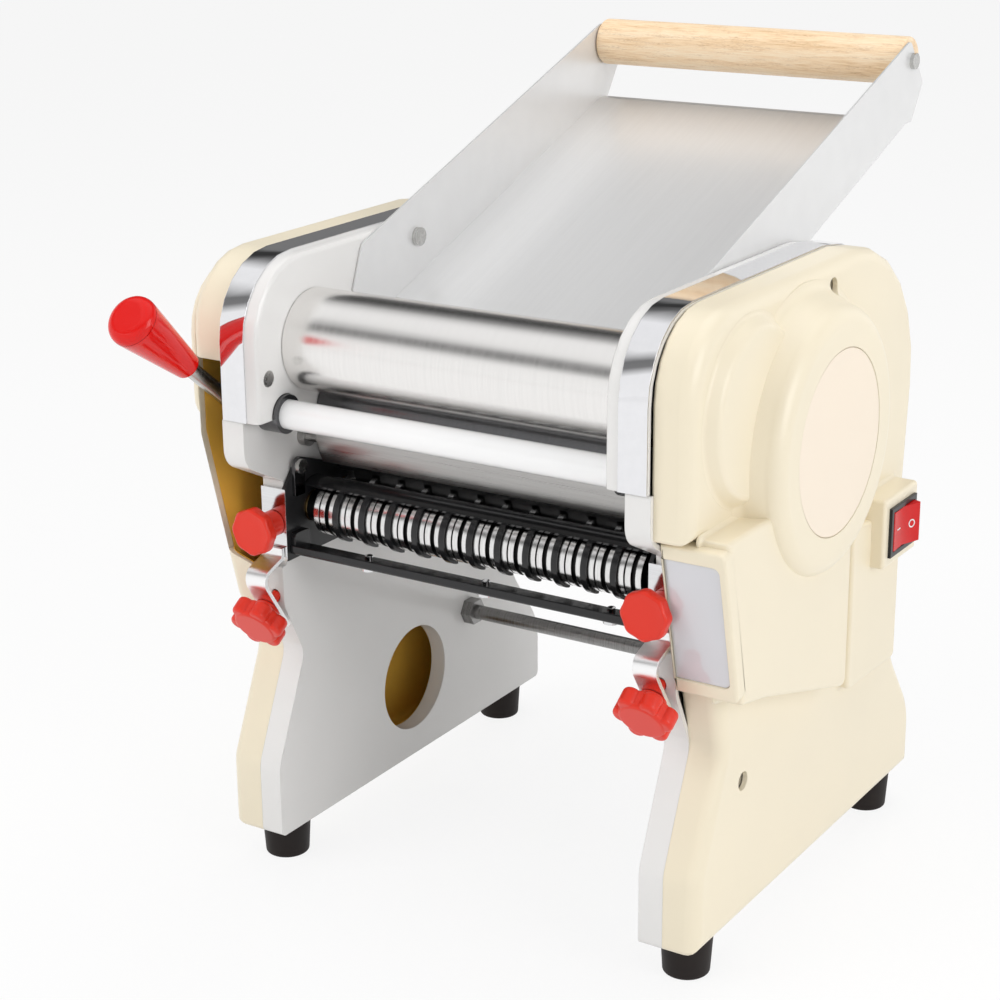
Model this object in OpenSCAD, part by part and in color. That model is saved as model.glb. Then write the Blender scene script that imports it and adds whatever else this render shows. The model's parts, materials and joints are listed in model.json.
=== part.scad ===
// Electric pasta maker: two press rollers over a noodle cutter between two side stands.
// Machine axes while modelling: X runs from the left stand's inner face to the motor side,
// Y runs back from the front edge of the stand feet, Z runs up from the table.

/* [Stands] */
// Distance between the inner faces of the two stands
inner_w = 206; // [196:1:230]
// Thickness of each stand moulding
stand_t = 12.5; // [12:0.5:14]
// Wall of the stands, casings and covers
wall = 2.5; // [2:0.1:2.8]
// Depth of the stand feet, front to back
foot_depth = 249; // [244:1:258]
// Height of the stands' lower edge above the table
foot_h = 19.5; // [15:0.5:24]
// Diameter of each rubber foot where it meets the stand
foot_d = 25; // [20:0.5:26]
// Diameter of the round opening through the left stand
hole_d = 60; // [40:1:64]

/* [Head] */
// Height of the top of the head casings
head_top = 319.5; // [317:0.5:324]
// Height of the joint between stands and head casings
head_joint = 243.5; // [243:0.25:245]
// How far the head casings stand in front of the feet
head_front = 17; // [15:0.5:20]
// Depth of each head casing, across the machine
casing_w = 21; // [20.5:0.5:21.5]
// Width of the chrome trim strip
trim_w = 14; // [8:0.5:16]
// Thickness of the chrome trim strip
trim_t = 0.7; // [0.5:0.1:1]
// Thickness of the steel bearing plates
plate_t = 5; // [4:0.5:5.5]

/* [Covers] */
// Thickness of the motor cover beyond the stand
motor_cover_t = 17.5; // [17:0.5:22]
// Thickness of the left cover beyond the stand
left_cover_t = 19.4; // [19:0.2:24]
// How far the left cover's upper bulge stands out
left_bulge = 6; // [3:0.5:8]
// How far the round gear boss stands out of the motor cover
boss_h = 19.5; // [16:0.5:24]
// Radius of the round gear boss
boss_r = 66; // [60:0.5:68]
// Radius of the plain disc set into the gear boss
disc_r = 43.5; // [30:0.5:50]
// Thickness of the plain disc
disc_t = 1; // [0.8:0.1:1.4]

/* [Press rollers] */
// Working length of each press roller
roller_len = 185.4; // [183:0.2:185.4]
// Diameter of each press roller
roller_d = 50; // [48:0.5:50.5]
// Diameter of the roller journals
journal_d = 16; // [12:0.5:16]
// Front roller axis behind the front edge of the feet
roller_y = 27; // [26:0.5:29]
// Height of the front roller axis
roller_z = 276; // [274:0.5:277]
// Gap between the rollers at the thinnest setting
roller_gap = 0.8; // [0.5:0.1:1.5]
// Travel of the rear roller from the thinnest to the thickest setting
gap_travel = 4; // [2:0.5:4]
// Diameter of the guard tube in front of the rollers
tube_d = 14.4; // [10:0.2:16]

/* [Adjusting lever] */
// Angle the lever turns down from thinnest to thickest
lever_turn = 45; // [30:1:45]
// Diameter of the adjusting shaft
shaft_d = 10; // [8:0.5:10.5]
// Radius of the eccentric cams
cam_r = 12; // [10:0.5:12.5]
// Diameter of the lever rod
rod_d = 7.8; // [6:0.2:8]
// Length of the red grip
grip_len = 51; // [40:1:60]
// Diameter of the grip's free end
grip_d = 25; // [18:0.5:28]

/* [Gears] */
// Tooth module of the roller and cutter gears
module_a = 2.5; // [2.45:0.01:2.52]
// Tooth module of the motor reduction
module_c = 2; // [1.9:0.01:2.04]
// Play left between meshing teeth
tooth_play = 0.3; // [0.25:0.05:0.5]
// Face width of the gears
gear_w = 6; // [4:0.5:6]

/* [Cutter] */
// Radius of the cutter rings
ring_r = 13; // [12.6:0.1:13.2]
// Radius of the cutter roller cores
core_r = 8; // [6:0.5:9]
// Width of one cutter ring
ring_w = 2.9; // [2.5:0.1:3]
// Pitch of the ring groups along the roller
ring_pitch = 15.5; // [15.2:0.1:15.5]
// Number of ring groups
ring_groups = 12; // [8:1:12]
// Diameter of the cutter roller journals
cutter_journal_d = 10; // [8:0.5:10]

/* [Chute] */
// Thickness of the chute sheet
chute_t = 1; // [0.8:0.1:1.2]
// Height of the chute's side flanges
flange_h = 40; // [30:1:44]
// Slope of the chute
chute_slope = 19.8; // [19:0.1:20.5]
// Length of the chute floor along its slope
chute_len = 260; // [230:1:280]
// Diameter of the wooden handle
handle_d = 25; // [18:0.5:28]

/* [Knobs and switch] */
// Diameter of the upper knobs
upper_knob_d = 24; // [20:0.5:24.5]
// Diameter of the lower star knobs
lower_knob_d = 30; // [26:0.5:32]
// Width of the clamp clips
clip_w = 12; // [10:0.5:14]
// Width of the switch bezel
bezel_w = 31; // [28:0.5:33]
// Height of the switch bezel
bezel_h = 25.5; // [23:0.5:26]

/* [Hidden] */
$fn = 48;
seat = 0.3;             // gap at a loose seat
run = 0.05;             // radial running clearance
close = 0.02;           // radial clearance of a pressed or screwed fit
arc_steps = 6;          // chords in each rounded corner

// Corners of a closed outline are [y, z, radius], counter-clockwise
function unit(v) = v / norm(v);
function flat(p) = [p[0], p[1]];
function cross2(a, b) = a[0] * b[1] - a[1] * b[0];
function turned(v, a) = [v[0] * cos(a) - v[1] * sin(a), v[0] * sin(a) + v[1] * cos(a)];
function left_of(a, b) = turned(unit(flat(b) - flat(a)), 90);

// Arc that rounds corner b between a and c
function corner(a, b, c) =
    let (
        u = unit(flat(a) - flat(b)),
        v = unit(flat(c) - flat(b)),
        half = acos(u * v) / 2,
        centre = flat(b) + unit(u + v) * b[2] / sin(half),
        start = flat(b) + u * b[2] / tan(half) - centre,
        sweep = sign(cross2(-u, v)) * (180 - 2 * half)
    )
    [for (i = [0:arc_steps]) centre + turned(start, sweep * i / arc_steps)];

// Outline with its corners rounded, as plain points
function smooth(p) =
    let (n = len(p))
    [for (i = [0:n - 1]) each (p[i][2] > 0 ? corner(p[(i + n - 1) % n], p[i], p[(i + 1) % n]) : [flat(p[i])])];

// Outline moved inwards by d, its radii following
function inset(p, d) =
    let (n = len(p))
    [for (i = [0:n - 1])
        let (
            a = p[(i + n - 1) % n],
            b = p[i],
            c = p[(i + 1) % n],
            m = left_of(a, b),
            k = left_of(b, c),
            q = flat(b) + (m + k) * d / (1 + m * k),
            r = b[2] - sign(cross2(flat(b) - flat(a), flat(c) - flat(b))) * d
        )
        [q[0], q[1], b[2] > 0 ? max(r, 1.2) : 0]];

// One side of an open path at distance d to its left
function beside(p, d) =
    let (n = len(p))
    [for (i = [0:n - 1])
        let (
            m = i > 0 ? left_of(p[i - 1], p[i]) : left_of(p[0], p[1]),
            k = i < n - 1 ? left_of(p[i], p[i + 1]) : m,
            q = flat(p[i]) + (m + k) * d / (1 + m * k),
            r = i > 0 && i < n - 1
                ? p[i][2] - sign(cross2(flat(p[i]) - flat(p[i - 1]), flat(p[i + 1]) - flat(p[i]))) * d
                : 0
        )
        [q[0], q[1], i > 0 && i < n - 1 ? max(r, 0.2) : 0]];

// Closed outline between distances d0 and d1 to the left of path p
function strip(p, d0, d1) =
    let (
        near = beside(p, d0),
        far = beside(p, d1),
        n = len(p)
    )
    concat(near, [for (i = [n - 1:-1:0]) far[i]]);

// Closed outline of a bent sheet of thickness t whose middle follows path p
function sheet(p, t) = strip(p, -t / 2, t / 2);

// Solid between x0 and x1 whose section in the side view is the children
module across(x0, x1) {
    translate([x0, 0, 0]) rotate([90, 0, 90]) linear_extrude(x1 - x0) children();
}

// Round bar along X
module bar(x0, x1, c, r) {
    across(x0, x1) translate(c) circle(r);
}

// Ring along X
module ring(x0, x1, c, r_out, r_in) {
    across(x0, x1) translate(c) difference() {
        circle(r_out);
        circle(r_in);
    }
}

// Turned solid around X through c: the profile is [radius, x]
module turned_about(c, profile) {
    translate([0, c[0], c[1]]) rotate([0, 90, 0]) rotate_extrude($fn = 72) polygon(smooth(profile));
}

// Solid through outlines of equal point count, each [x, points], from low to high x
module loft(rings) {
    n = len(rings[0][1]);
    last = len(rings) - 1;
    polyhedron(
        points = [for (r = rings) for (p = r[1]) [r[0], p[0], p[1]]],
        faces = concat(
            [[for (i = [0:n - 1]) i]],
            [[for (i = [n - 1:-1:0]) last * n + i]],
            [for (k = [0:last - 1]) for (i = [0:n - 1])
                let (a = k * n + i, b = k * n + (i + 1) % n)
                each [[a, a + n, b], [b, a + n, b + n]]]
        ),
        convexity = 10
    );
}

// Moulded block from x0 out to x1 (towards +X) whose outer edge is stepped in twice, by r in all
module stepped(outline, x0, x1, r) {
    across(x0, x1 - r) polygon(smooth(outline));
    across(x0 + 0.3, x1 - 0.3 * r) polygon(smooth(inset(outline, 0.3 * r)));
    across(x0 + 0.6, x1) polygon(smooth(inset(outline, r)));
}

// Hollow inside a moulded block: its end is stepped in by step, away from the rounded edge
module hollow(outline, x0, x1, step) {
    across(x0, x1 - step) polygon(smooth(outline));
    if (step > 0)
        across(x0, x1) polygon(smooth(inset(outline, step)));
}

// Both sides of the machine: the children are drawn for the left one
module both_sides() {
    children();
    translate([inner_w, 0, 0]) mirror([1, 0, 0]) children();
}

module right_side() {
    translate([inner_w, 0, 0]) mirror([1, 0, 0]) children();
}

// Sector of the side view from angle a0 to a1 around c
module sector(c, a0, a1, reach) {
    steps = 6;
    translate(c) polygon(concat([[0, 0]],
        [for (i = [0:steps]) reach * [cos(a0 + (a1 - a0) * i / steps), sin(a0 + (a1 - a0) * i / steps)]]));
}

// ---- Places worked out from the sizes above, in the side view [y, z] ----
front_axis = [roller_y, roller_z];
slide_dir = [cos(45), -sin(45)];
centre_dist = roller_d + roller_gap;
rear_axis = front_axis + slide_dir * centre_dist;
block_w = 26;                                   // bearing block, across its slide
cam_throw = gap_travel / (2 * sin(lever_turn / 2));
cam_phase = 90 - lever_turn / 2;
cam_reach = cam_r + cam_throw * cos(cam_phase);
shaft_axis = rear_axis + slide_dir * (roller_d / 2 + gap_travel + shaft_d / 2 + 2);
tongue_len = norm(shaft_axis - rear_axis) - cam_reach - seat;

stud_axis = front_axis + (28 + 32) / 2 * module_a * [cos(-25.2), sin(-25.2)];
motor_axis = stud_axis + (50 + 12) / 2 * module_c * [cos(-30), sin(-30)];
idler_axis = front_axis + (28 + 16) / 2 * module_a * [cos(-89.6), sin(-89.6)];
cutter_front = idler_axis + (16 + 10) / 2 * module_a * [cos(-80), sin(-80)];
cutter_rear = cutter_front + [10 * module_a, 0];
tube_axis = [3, head_joint + 1];
low_rod_axis = [174, 86];
tray_rod_axis = [160, 300.5];

// Stations along X, for the left side
plate_in = -wall;
plate_out = -wall - plate_t;
casing_in = 10;
casing_out = casing_in - casing_w;
gear_in = plate_out - 1.5;                      // left timing gears
timing_w = gear_w + 1;
lever_x = -24.4;

// Stations along X, for the right side
motor_plate_out = inner_w - plate_out;
big_gear_x = motor_plate_out + 2.5;
small_gear_x = big_gear_x + gear_w + 2;
small_gear_w = gear_w + 0.5;
cover_x = inner_w + stand_t + motor_cover_t;    // flat face of the motor cover
boss_x = cover_x + boss_h;
box_x = cover_x + 14;                           // front box and the block behind it
switch_x = cover_x + 13;
left_cover_x = -stand_t - left_cover_t;

// Whole machine
grip_axis_dir = unit([-0.776, 0.631]);
rod_start = [22, 231];
grip_start = rod_start + grip_axis_dir * 61.3;
grip_end = grip_start + grip_axis_dir * grip_len;
bulge_x = left_cover_x - left_bulge;
grip_round = 5;
front_y = (grip_start + grip_axis_dir * (grip_len - grip_round))[0]
    - grip_axis_dir[1] * (grip_d / 2 - grip_round) - grip_round;
mid_x = (boss_x + bulge_x) / 2;
chute_front = [56, 268.5];
along = [cos(chute_slope), sin(chute_slope)];
chute_up = [-sin(chute_slope), cos(chute_slope)];
chute_end = chute_front + along * chute_len;
function on_front(a, b, r) = concat(chute_front + along * a + chute_up * b, r);
function on_end(a, b, r) = concat(chute_end + along * a + chute_up * b, r);
flange_outline = [
    on_front(0, 0, 3), on_end(0, -0.5, 1), on_end(7.1, -2.8, 3), on_end(26, 10.7, 3),
    on_end(16.2, flange_h - 1, 4), on_front(26.8, flange_h, 6), on_front(11.3, 22.3, 12)];
rear_end = max([for (q = smooth(flange_outline)) q[0]]);
mid_y = (front_y + rear_end) / 2;

module placed() {
    translate([-mid_x, -mid_y, 0]) children();
}

// ---- Side outlines ----
function rear_y(z) = 217 + (foot_depth - 249) + (z - 98) * 0.088;

rear_foot = [[foot_depth, foot_h, 3], [foot_depth, 55, 35], [rear_y(98), 98, 40]];
shin = [[9, 143, 15], [24, 113, 12], [0, 58, 20], [0, foot_h, 3]];
crown_r = 75;                                   // rear top corner of head and covers
notch_y = 12.3;                                 // front of the stand behind the cutter flange

function stand_outline(top) = concat(
    rear_foot,
    [[rear_y(top), top, 1], [-head_front + 0.5, top, 1], [-head_front + 0.5, 221, 12]],
    [[notch_y, 206.5, 1], [notch_y, 163, 1], [9, 163, 1]],
    shin);

cover_outline = concat(
    rear_foot,
    [[rear_y(head_top), head_top, crown_r], [-head_front + 3, head_top, 37], [-head_front + 3, 222, 2]],
    [[9.5, 222, 2]],
    shin);

function head_outline(bottom) = [
    [-head_front, bottom, 1],
    [rear_y(bottom), bottom, 1],
    [rear_y(head_top), head_top, crown_r],
    [-head_front, head_top, 38]];

plate_outline = [
    [16, 150, 5], [206, 150, 5], [214, 256, 20], [176, 304, 30],
    [24, 308, 30], [-8, 282, 20], [-10, 228, 6], [16, 212, 6]];

foot_places = [21.6, foot_depth - 21];
cover_screw_places = [[43.8, 91.8], [124, 308]];
casing_screw_places = [[-8, 264], [112, 262], [196, 262]];

// ---- Gears ----
function involute(a) = tan(a) * 180 / PI - a;
function tooth_half(r, rp, z) =
    90 / z - tooth_play / 2 / rp * 90 / PI + involute(20) - involute(acos(min(1, rp * cos(20) / r)));

// Spur gear in the side view, one tooth pointing along angle phase
module spur(z, m, phase) {
    rp = z * m / 2;
    radii = [rp - 1.15 * m, rp - 0.35 * m, rp + 0.2 * m, rp + 0.8 * m];
    polygon([for (i = [0:z - 1])
        each concat(
            [for (r = radii) let (a = phase + i * 360 / z - tooth_half(r, rp, z)) r * [cos(a), sin(a)]],
            [for (k = [3:-1:0]) let (r = radii[k], a = phase + i * 360 / z + tooth_half(r, rp, z))
                r * [cos(a), sin(a)]]
        )]);
}

function heading(a, b) = atan2(b[1] - a[1], b[0] - a[0]);

// Phase of gear 2 (z2 teeth at c2) that meshes with gear 1 (z1 teeth at c1, phase p1)
function mesh(c1, z1, p1, c2, z2) =
    heading(c1, c2) + 180 + 180 / z2 + (heading(c1, c2) - p1) * z1 / z2;

module gear(x, w, c, z, m, phase, bore) {
    across(x, x + w) translate(c) difference() {
        spur(z, m, phase);
        circle(bore);
    }
}

phase_32 = mesh(front_axis, 28, 0, stud_axis, 32);
phase_16 = mesh(front_axis, 28, 0, idler_axis, 16);
phase_10 = mesh(idler_axis, 16, phase_16, cutter_front, 10);

// ---- Stands ----
module block_window(x0, x1, extra) {
    across(x0, x1) translate(rear_axis) rotate(-45)
        translate([-block_w / 2 - seat - extra, -block_w / 2 - run - extra])
        square([block_w + gap_travel + 2 * seat + 2 * extra, block_w + 2 * run + 2 * extra]);
}

module stand_shell(motor_side) {
    difference() {
        across(-stand_t, 0) polygon(smooth(stand_outline(head_joint - seat)));
        across(-stand_t - 1, -wall) polygon(smooth(inset(stand_outline(head_joint + 10), wall)));
        block_window(-wall - 1, 1, 1);
        for (c = [cutter_front, cutter_rear]) bar(-wall - 1, 1, c, 9);
        bar(-wall - 1, 1, shaft_axis, shaft_d / 2 + 1);
        bar(-wall - 1, 1, low_rod_axis, 4 + close);
        for (c = [scraper_axis, strip_axis]) bar(-wall - 1, 1, c, 2.5 + close);
        if (motor_side) bar(-wall - 1, 1, motor_axis, 13);
        knob_screw_hole();
        clip_screw_hole();
    }
}

module knob_screw_hole() {
    translate([knob_x, 0, upper_knob_z]) rotate([-90, 0, 0]) cylinder(r = 2.8, h = 30);
}

module clip_screw_hole() {
    translate([knob_x, clip_point[0], clip_point[1]]) rotate([clip_tilt - 90, 0, 0])
        cylinder(r = 2.8, h = 40);
}

module left_stand_panel() placed() color("white") {
    difference() {
        stand_shell(false);
        bar(-wall - 1, 1, hole_axis, hole_d / 2);
    }
    ring(-9, 0, hole_axis, hole_d / 2 + 2, hole_d / 2 - 1);
}

module right_stand_panel() placed() color("white") right_side() stand_shell(true);

// ---- Head casings ----
module casing() {
    difference() {
        loft([
            [casing_out, smooth(head_outline(head_joint - 10))],
            [casing_in - 3, smooth(head_outline(head_joint - 10))],
            [casing_in - 1.2, smooth(inset(head_outline(head_joint - 10), 0.5))],
            [casing_in - 0.3, smooth(inset(head_outline(head_joint - 10), 1.6))],
            [casing_in, smooth(inset(head_outline(head_joint - 10), 3))]]);
        across(casing_out - 1, casing_in - wall)
            polygon(smooth(inset(head_outline(head_joint - 20), wall)));
        across(casing_out - 1, casing_in + 1)
            translate([-50, head_joint - 30]) square([400, 30]);
        bar(0, casing_in + 1, front_axis, journal_d / 2 + 2);
        hull() for (s = [0, gap_travel]) bar(0, casing_in + 1, rear_axis + s * slide_dir, journal_d / 2 + 2);
        bar(-1, casing_in + 1, tube_axis, bush_r + 0.3);
        for (p = casing_screw_places) bar(-1, casing_in + 1, p, 2.2);
        for (p = casing_screw_places) translate([casing_in - 2, p[0], p[1]]) rotate([0, 90, 0])
            cylinder(r1 = 2.2, r2 = 4.4, h = 2.2);
        bar(0, casing_in + 1, chute_screw, 2.5 + close);
        bar(0, casing_in + 1, tray_rod_axis, 4.5);
    }
    for (p = casing_screw_places) ring(plate_in, casing_in - wall, p, 5, 2.2);
}

module left_head_casing() placed() color("white") casing();
module right_head_casing() placed() color("white") right_side() casing();

// Chrome strip lying on the rim of each casing, from the front joint over the top to the back
module chrome_trims() {
    rim = head_outline(head_joint - 10);
    path = [for (i = [1:4]) rim[i % 4]];
    placed() color("silver") both_sides() across(casing_out, casing_out + trim_w) difference() {
        polygon(smooth(strip(path, -trim_t, 0)));
        translate([-50, head_joint - 30]) square([400, 30]);
    }
}

// ---- Bearing plates ----
module bearing_plate(motor_side) {
    difference() {
        across(plate_out, plate_in) polygon(smooth(plate_outline));
        bar(plate_out - 1, plate_in + 1, front_axis, bush_r2 + close);
        block_window(plate_out - 1, plate_in + 1, 0);
        bar(plate_out - 1, plate_in + 1, shaft_axis, shaft_d / 2 + run);
        bar(plate_out - 1, plate_in + 1, tray_rod_axis, 4 + close);
        for (c = [cutter_front, cutter_rear]) bar(plate_out - 1, plate_in + 1, c, 8 + close);
        for (p = casing_screw_places) bar(plate_out - 1, plate_in + 1, p, 2 + close);
        if (motor_side) for (c = [stud_axis, idler_axis]) bar(plate_out - 1, plate_in + 1, c, 6 + close);
        if (motor_side) bar(plate_out - 1, plate_in + 1, motor_axis, 13);
    }
}

module left_bearing_plate() placed() color("lightsteelblue") bearing_plate(false);
module right_bearing_plate() placed() color("lightsteelblue") right_side() bearing_plate(true);

// ---- Small sizes and places shared by several parts ----
roller_x = (inner_w - roller_len) / 2;          // left end of the press rollers
block_in = 7;                                   // inner face of the bearing blocks
bush_r = 9.5;                                   // guard tube bush
bush_r2 = journal_d / 2 + 3;                    // roller bush
stud_r = 6;
motor_x0 = 122;
motor_x1 = inner_w - 10.5;
grip_angle = atan2(grip_axis_dir[1], grip_axis_dir[0]);
hole_axis = [121, 64];
knob_x = -5;
upper_knob_z = 185;
clip_point = [3.5, 143.5];
clip_tilt = 33;
clip_t = 2;
chute_screw = [114.7, 310.4];
handle_axis = flat(on_end(15.7, 27.7, 0));
scraper_centre = front_axis + [31.7, -44];
scraper_tip = front_axis + (roller_d / 2 + seat + 0.5) * [cos(-80), sin(-80)];
scraper_r = norm(scraper_centre - scraper_tip);
scraper_axis = scraper_centre + (scraper_r - 3.5) * [cos(191.7), sin(191.7)];
strip_tip = rear_axis + (roller_d / 2 + seat + 0.5) * [cos(-140), sin(-140)];
strip_dir = [sin(40), -cos(40)];
strip_axis = strip_tip + 16.5 * strip_dir;
ear_screw = [20, 213];
bar_fixings = [34, inner_w / 2, inner_w - 30];
gland_x = 182;
bracket_holes = [for (s = [-33, 33], t = [-32, 22]) motor_axis + [s, t]];
switch_at = [188.5, 176];
rocker_tilt = 9;
// Slanted front of the box: front corners, way down the slope and way into the machine
box_front0 = [-9, 220];
box_front1 = [8, 146];
box_down = unit(box_front1 - box_front0);
box_in = turned(box_down, 90);
box_depth = 7.5;
box_rear0 = box_front0 + box_depth * box_in;
box_rear1 = box_front1 + box_depth * box_in;
box_cut0 = box_rear0 + seat * box_in;
box_cut1 = box_rear1 + seat * box_in + 2.2 * box_down;
box_back0 = [box_cut0[0] - 3, 224, 1];
box_back1 = [box_cut1[0] - 3, box_cut1[1] - 2, 2];

// ---- Press rollers ----
module front_press_roller() placed() color("gainsboro") {
    bar(roller_x, inner_w - roller_x, front_axis, roller_d / 2);
    bar(gear_in - timing_w - 2, small_gear_x + small_gear_w + 1, front_axis, journal_d / 2);
}

module rear_press_roller() placed() color("gainsboro") {
    bar(roller_x, inner_w - roller_x, rear_axis, roller_d / 2);
    bar(gear_in - timing_w - 2, motor_plate_out + 0.8, rear_axis, journal_d / 2);
}

module front_roller_bushes() placed() color("goldenrod") both_sides() {
    ring(plate_out, plate_in, front_axis, bush_r2, journal_d / 2 + run);
    ring(plate_in, plate_in + 2, front_axis, bush_r2 + 3, journal_d / 2 + run);
}

module rear_roller_bushes() placed() color("goldenrod") both_sides()
    ring(plate_out, block_in, rear_axis, bush_r2, journal_d / 2 + run);

module bearing_blocks() placed() color("dimgray") both_sides() difference() {
    union() {
        across(plate_out, block_in) translate(rear_axis) rotate(-45) square(block_w, center = true);
        across(seat, block_in) translate(rear_axis) rotate(-45) translate([block_w / 2 - 1, -6])
            square([tongue_len - block_w / 2 + 1, 12]);
    }
    bar(plate_out - 1, block_in + 1, rear_axis, bush_r2 + close);
}

// ---- Timing gears, left side ----
module front_timing_gear() placed() color("slategray")
    gear(gear_in - timing_w, timing_w, front_axis, 24, centre_dist / 24, 0, journal_d / 2 + close);

module rear_timing_gear() placed() color("slategray")
    gear(gear_in - timing_w, timing_w, rear_axis, 24, centre_dist / 24,
        mesh(front_axis, 24, 0, rear_axis, 24), journal_d / 2 + close);

// ---- Adjusting lever ----
module along_line(x, c, angle) {
    translate([x, c[0], c[1]]) rotate([angle - 90, 0, 0]) children();
}

module adjusting_shaft() placed() color("silver") {
    bar(lever_x - 2.5, motor_plate_out + 0.8, shaft_axis, shaft_d / 2);
    both_sides() bar(seat + 0.3, block_in - 0.2,
        shaft_axis + cam_throw * [cos(135 + cam_phase), sin(135 + cam_phase)], cam_r);
}

module adjusting_lever() placed() color("silver") {
    difference() {
        union() {
            across(lever_x - 1.5, lever_x + 1.5) {
                translate(shaft_axis) circle(10);
                polygon(smooth(sheet([shaft_axis, rod_start], 13)));
                translate(rod_start) circle(6.5);
            }
            bar(lever_x - 1.5, lever_x + 4, shaft_axis, 8);
        }
        bar(lever_x - 3, lever_x + 5, shaft_axis, shaft_d / 2 + close);
    }
    along_line(lever_x, rod_start, grip_angle)
        cylinder(d = rod_d, h = norm(grip_start - rod_start) + grip_len - 8);
}

module lever_grip() placed() color("red") along_line(lever_x, grip_start, grip_angle)
    rotate_extrude() polygon(smooth([
        [rod_d / 2 + close, 0, 0], [6.6, 0, 1.5], [grip_d / 2, grip_len * 0.88, 20],
        [grip_d / 2, grip_len, grip_round], [0, grip_len, 0],
        [0, grip_len - 7, 0], [rod_d / 2 + close, grip_len - 7, 0]]));

// ---- Guard tube and scrapers ----
module guard_tube() placed() color("white")
    ring(4, inner_w - 4, tube_axis, tube_d / 2, tube_d / 2 - 1.5);

module guard_tube_bushes() placed() color("silver") both_sides() {
    ring(0, 4, tube_axis, bush_r, 3);
    ring(4, 12, tube_axis, bush_r, tube_d / 2 + close);
}

module front_scraper() placed() color("silver") {
    across(roller_x + seat, inner_w - roller_x - seat) intersection() {
        translate(scraper_centre) difference() {
            circle(scraper_r + 0.5);
            circle(scraper_r - 0.5);
        }
        sector(scraper_centre, heading(scraper_centre, scraper_tip), 214, 2 * scraper_r);
    }
    bar(0, inner_w, scraper_axis, 3);
    both_sides() bar(0, 4, scraper_axis, 5.5);
    both_sides() bar(plate_in + 0.2, 1, scraper_axis, 2.5);
}

module rear_scraper() placed() color("silver") {
    across(roller_x + seat, inner_w - roller_x - seat)
        polygon(smooth(sheet([strip_tip, strip_tip + 15 * strip_dir], 1)));
    bar(0, inner_w, strip_axis, 3);
    both_sides() bar(plate_in + 0.2, 1, strip_axis, 2.5);
}

// ---- Noodle cutter ----
group_w = 3 * ring_w + 3.2;                     // three rings with their two grooves
finger_gap = ring_pitch - group_w;
rings_x0 = (inner_w - ring_groups * ring_pitch + finger_gap) / 2;

module cutter_core(c, right_end) {
    bar(4, inner_w - 4, c, core_r);
    bar(plate_out, right_end, c, cutter_journal_d / 2);
}

module front_cutter_roller() placed() color("silver") {
    cutter_core(cutter_front, small_gear_x + small_gear_w);
    for (k = [0:ring_groups - 1]) {
        x = rings_x0 + k * ring_pitch;
        bar(x, x + group_w, cutter_front, ring_r - 1.5);
        for (s = [0, ring_w + 0.8, 2 * ring_w + 3.2]) bar(x + s, x + s + ring_w, cutter_front, ring_r);
    }
}

module rear_cutter_roller() placed() color("silver") {
    cutter_core(cutter_rear, small_gear_x + small_gear_w);
    for (k = [0:ring_groups - 2]) {
        x = rings_x0 + k * ring_pitch + group_w;
        bar(x + seat, x + finger_gap - seat, cutter_rear, ring_r);
    }
}

// Comb: a shell over the roller and fingers that reach down between the rings
module comb(c, finger_x, finger_w, count, a_top, a_back, a_end) {
    across(2.8, inner_w - 2.8) intersection() {
        translate(c) difference() {
            circle(ring_r + 2.8);
            circle(ring_r + 1.2);
        }
        sector(c, a_back, a_top, 40);
    }
    for (k = [0:count - 1])
        across(finger_x + k * ring_pitch, finger_x + k * ring_pitch + finger_w) intersection() {
            translate(c) difference() {
                circle(ring_r + 1.5);
                circle(core_r + 0.5);
            }
            sector(c, a_back, a_end, 60);
        }
}

module front_comb() placed() color("black")
    comb(cutter_front, rings_x0 + group_w + seat, finger_gap - 2 * seat, ring_groups - 1, 122, 72, 262);

module rear_comb() placed() color("black")
    comb(cutter_rear, rings_x0 + seat, group_w - 2 * seat, ring_groups, 62, 108, -82);

module cutter_side_plates() placed() color("black") both_sides() {
    difference() {
        across(0.5, 2.5) polygon(smooth([
            [10, 166, 1], [76, 166, 4], [76, 196, 4], [60, 203, 4], [36, 212, 4], [22, 217, 4], [10, 203, 1]]));
        for (c = [cutter_front, cutter_rear]) bar(0, 3, c, cutter_journal_d / 2 + 3);
        bar(0, 3, ear_screw, 2.2);
    }
    difference() {
        translate([-stand_t + seat, 10, 166]) cube([stand_t + 2, 2, 37]);
        translate([knob_x, 0, upper_knob_z]) rotate([-90, 0, 0]) cylinder(r = 2.8, h = 30);
    }
}

module cutter_bushes() placed() color("goldenrod") both_sides()
    for (c = [cutter_front, cutter_rear]) {
        ring(plate_out, plate_in, c, 8, cutter_journal_d / 2 + run);
        ring(plate_in, 3.4, c, cutter_journal_d / 2 + 2.5, cutter_journal_d / 2 + run);
    }

module cutter_cross_bar() placed() color("black") {
    difference() {
        across(2.8, inner_w - 2.8) polygon(smooth(sheet([[13, 183, 0], [13, 170, 2], [27, 170, 0]], 1.6)));
        for (x = bar_fixings) translate([x, 0, 177]) rotate([-90, 0, 0]) cylinder(r = 1.6, h = 20);
        for (x = bar_fixings) translate([x - 8, 20, 160]) cylinder(r = 2.1, h = 20);
    }
    both_sides() translate([2.5, 13, 170]) cube([3, 12, 10]);
}

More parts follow.
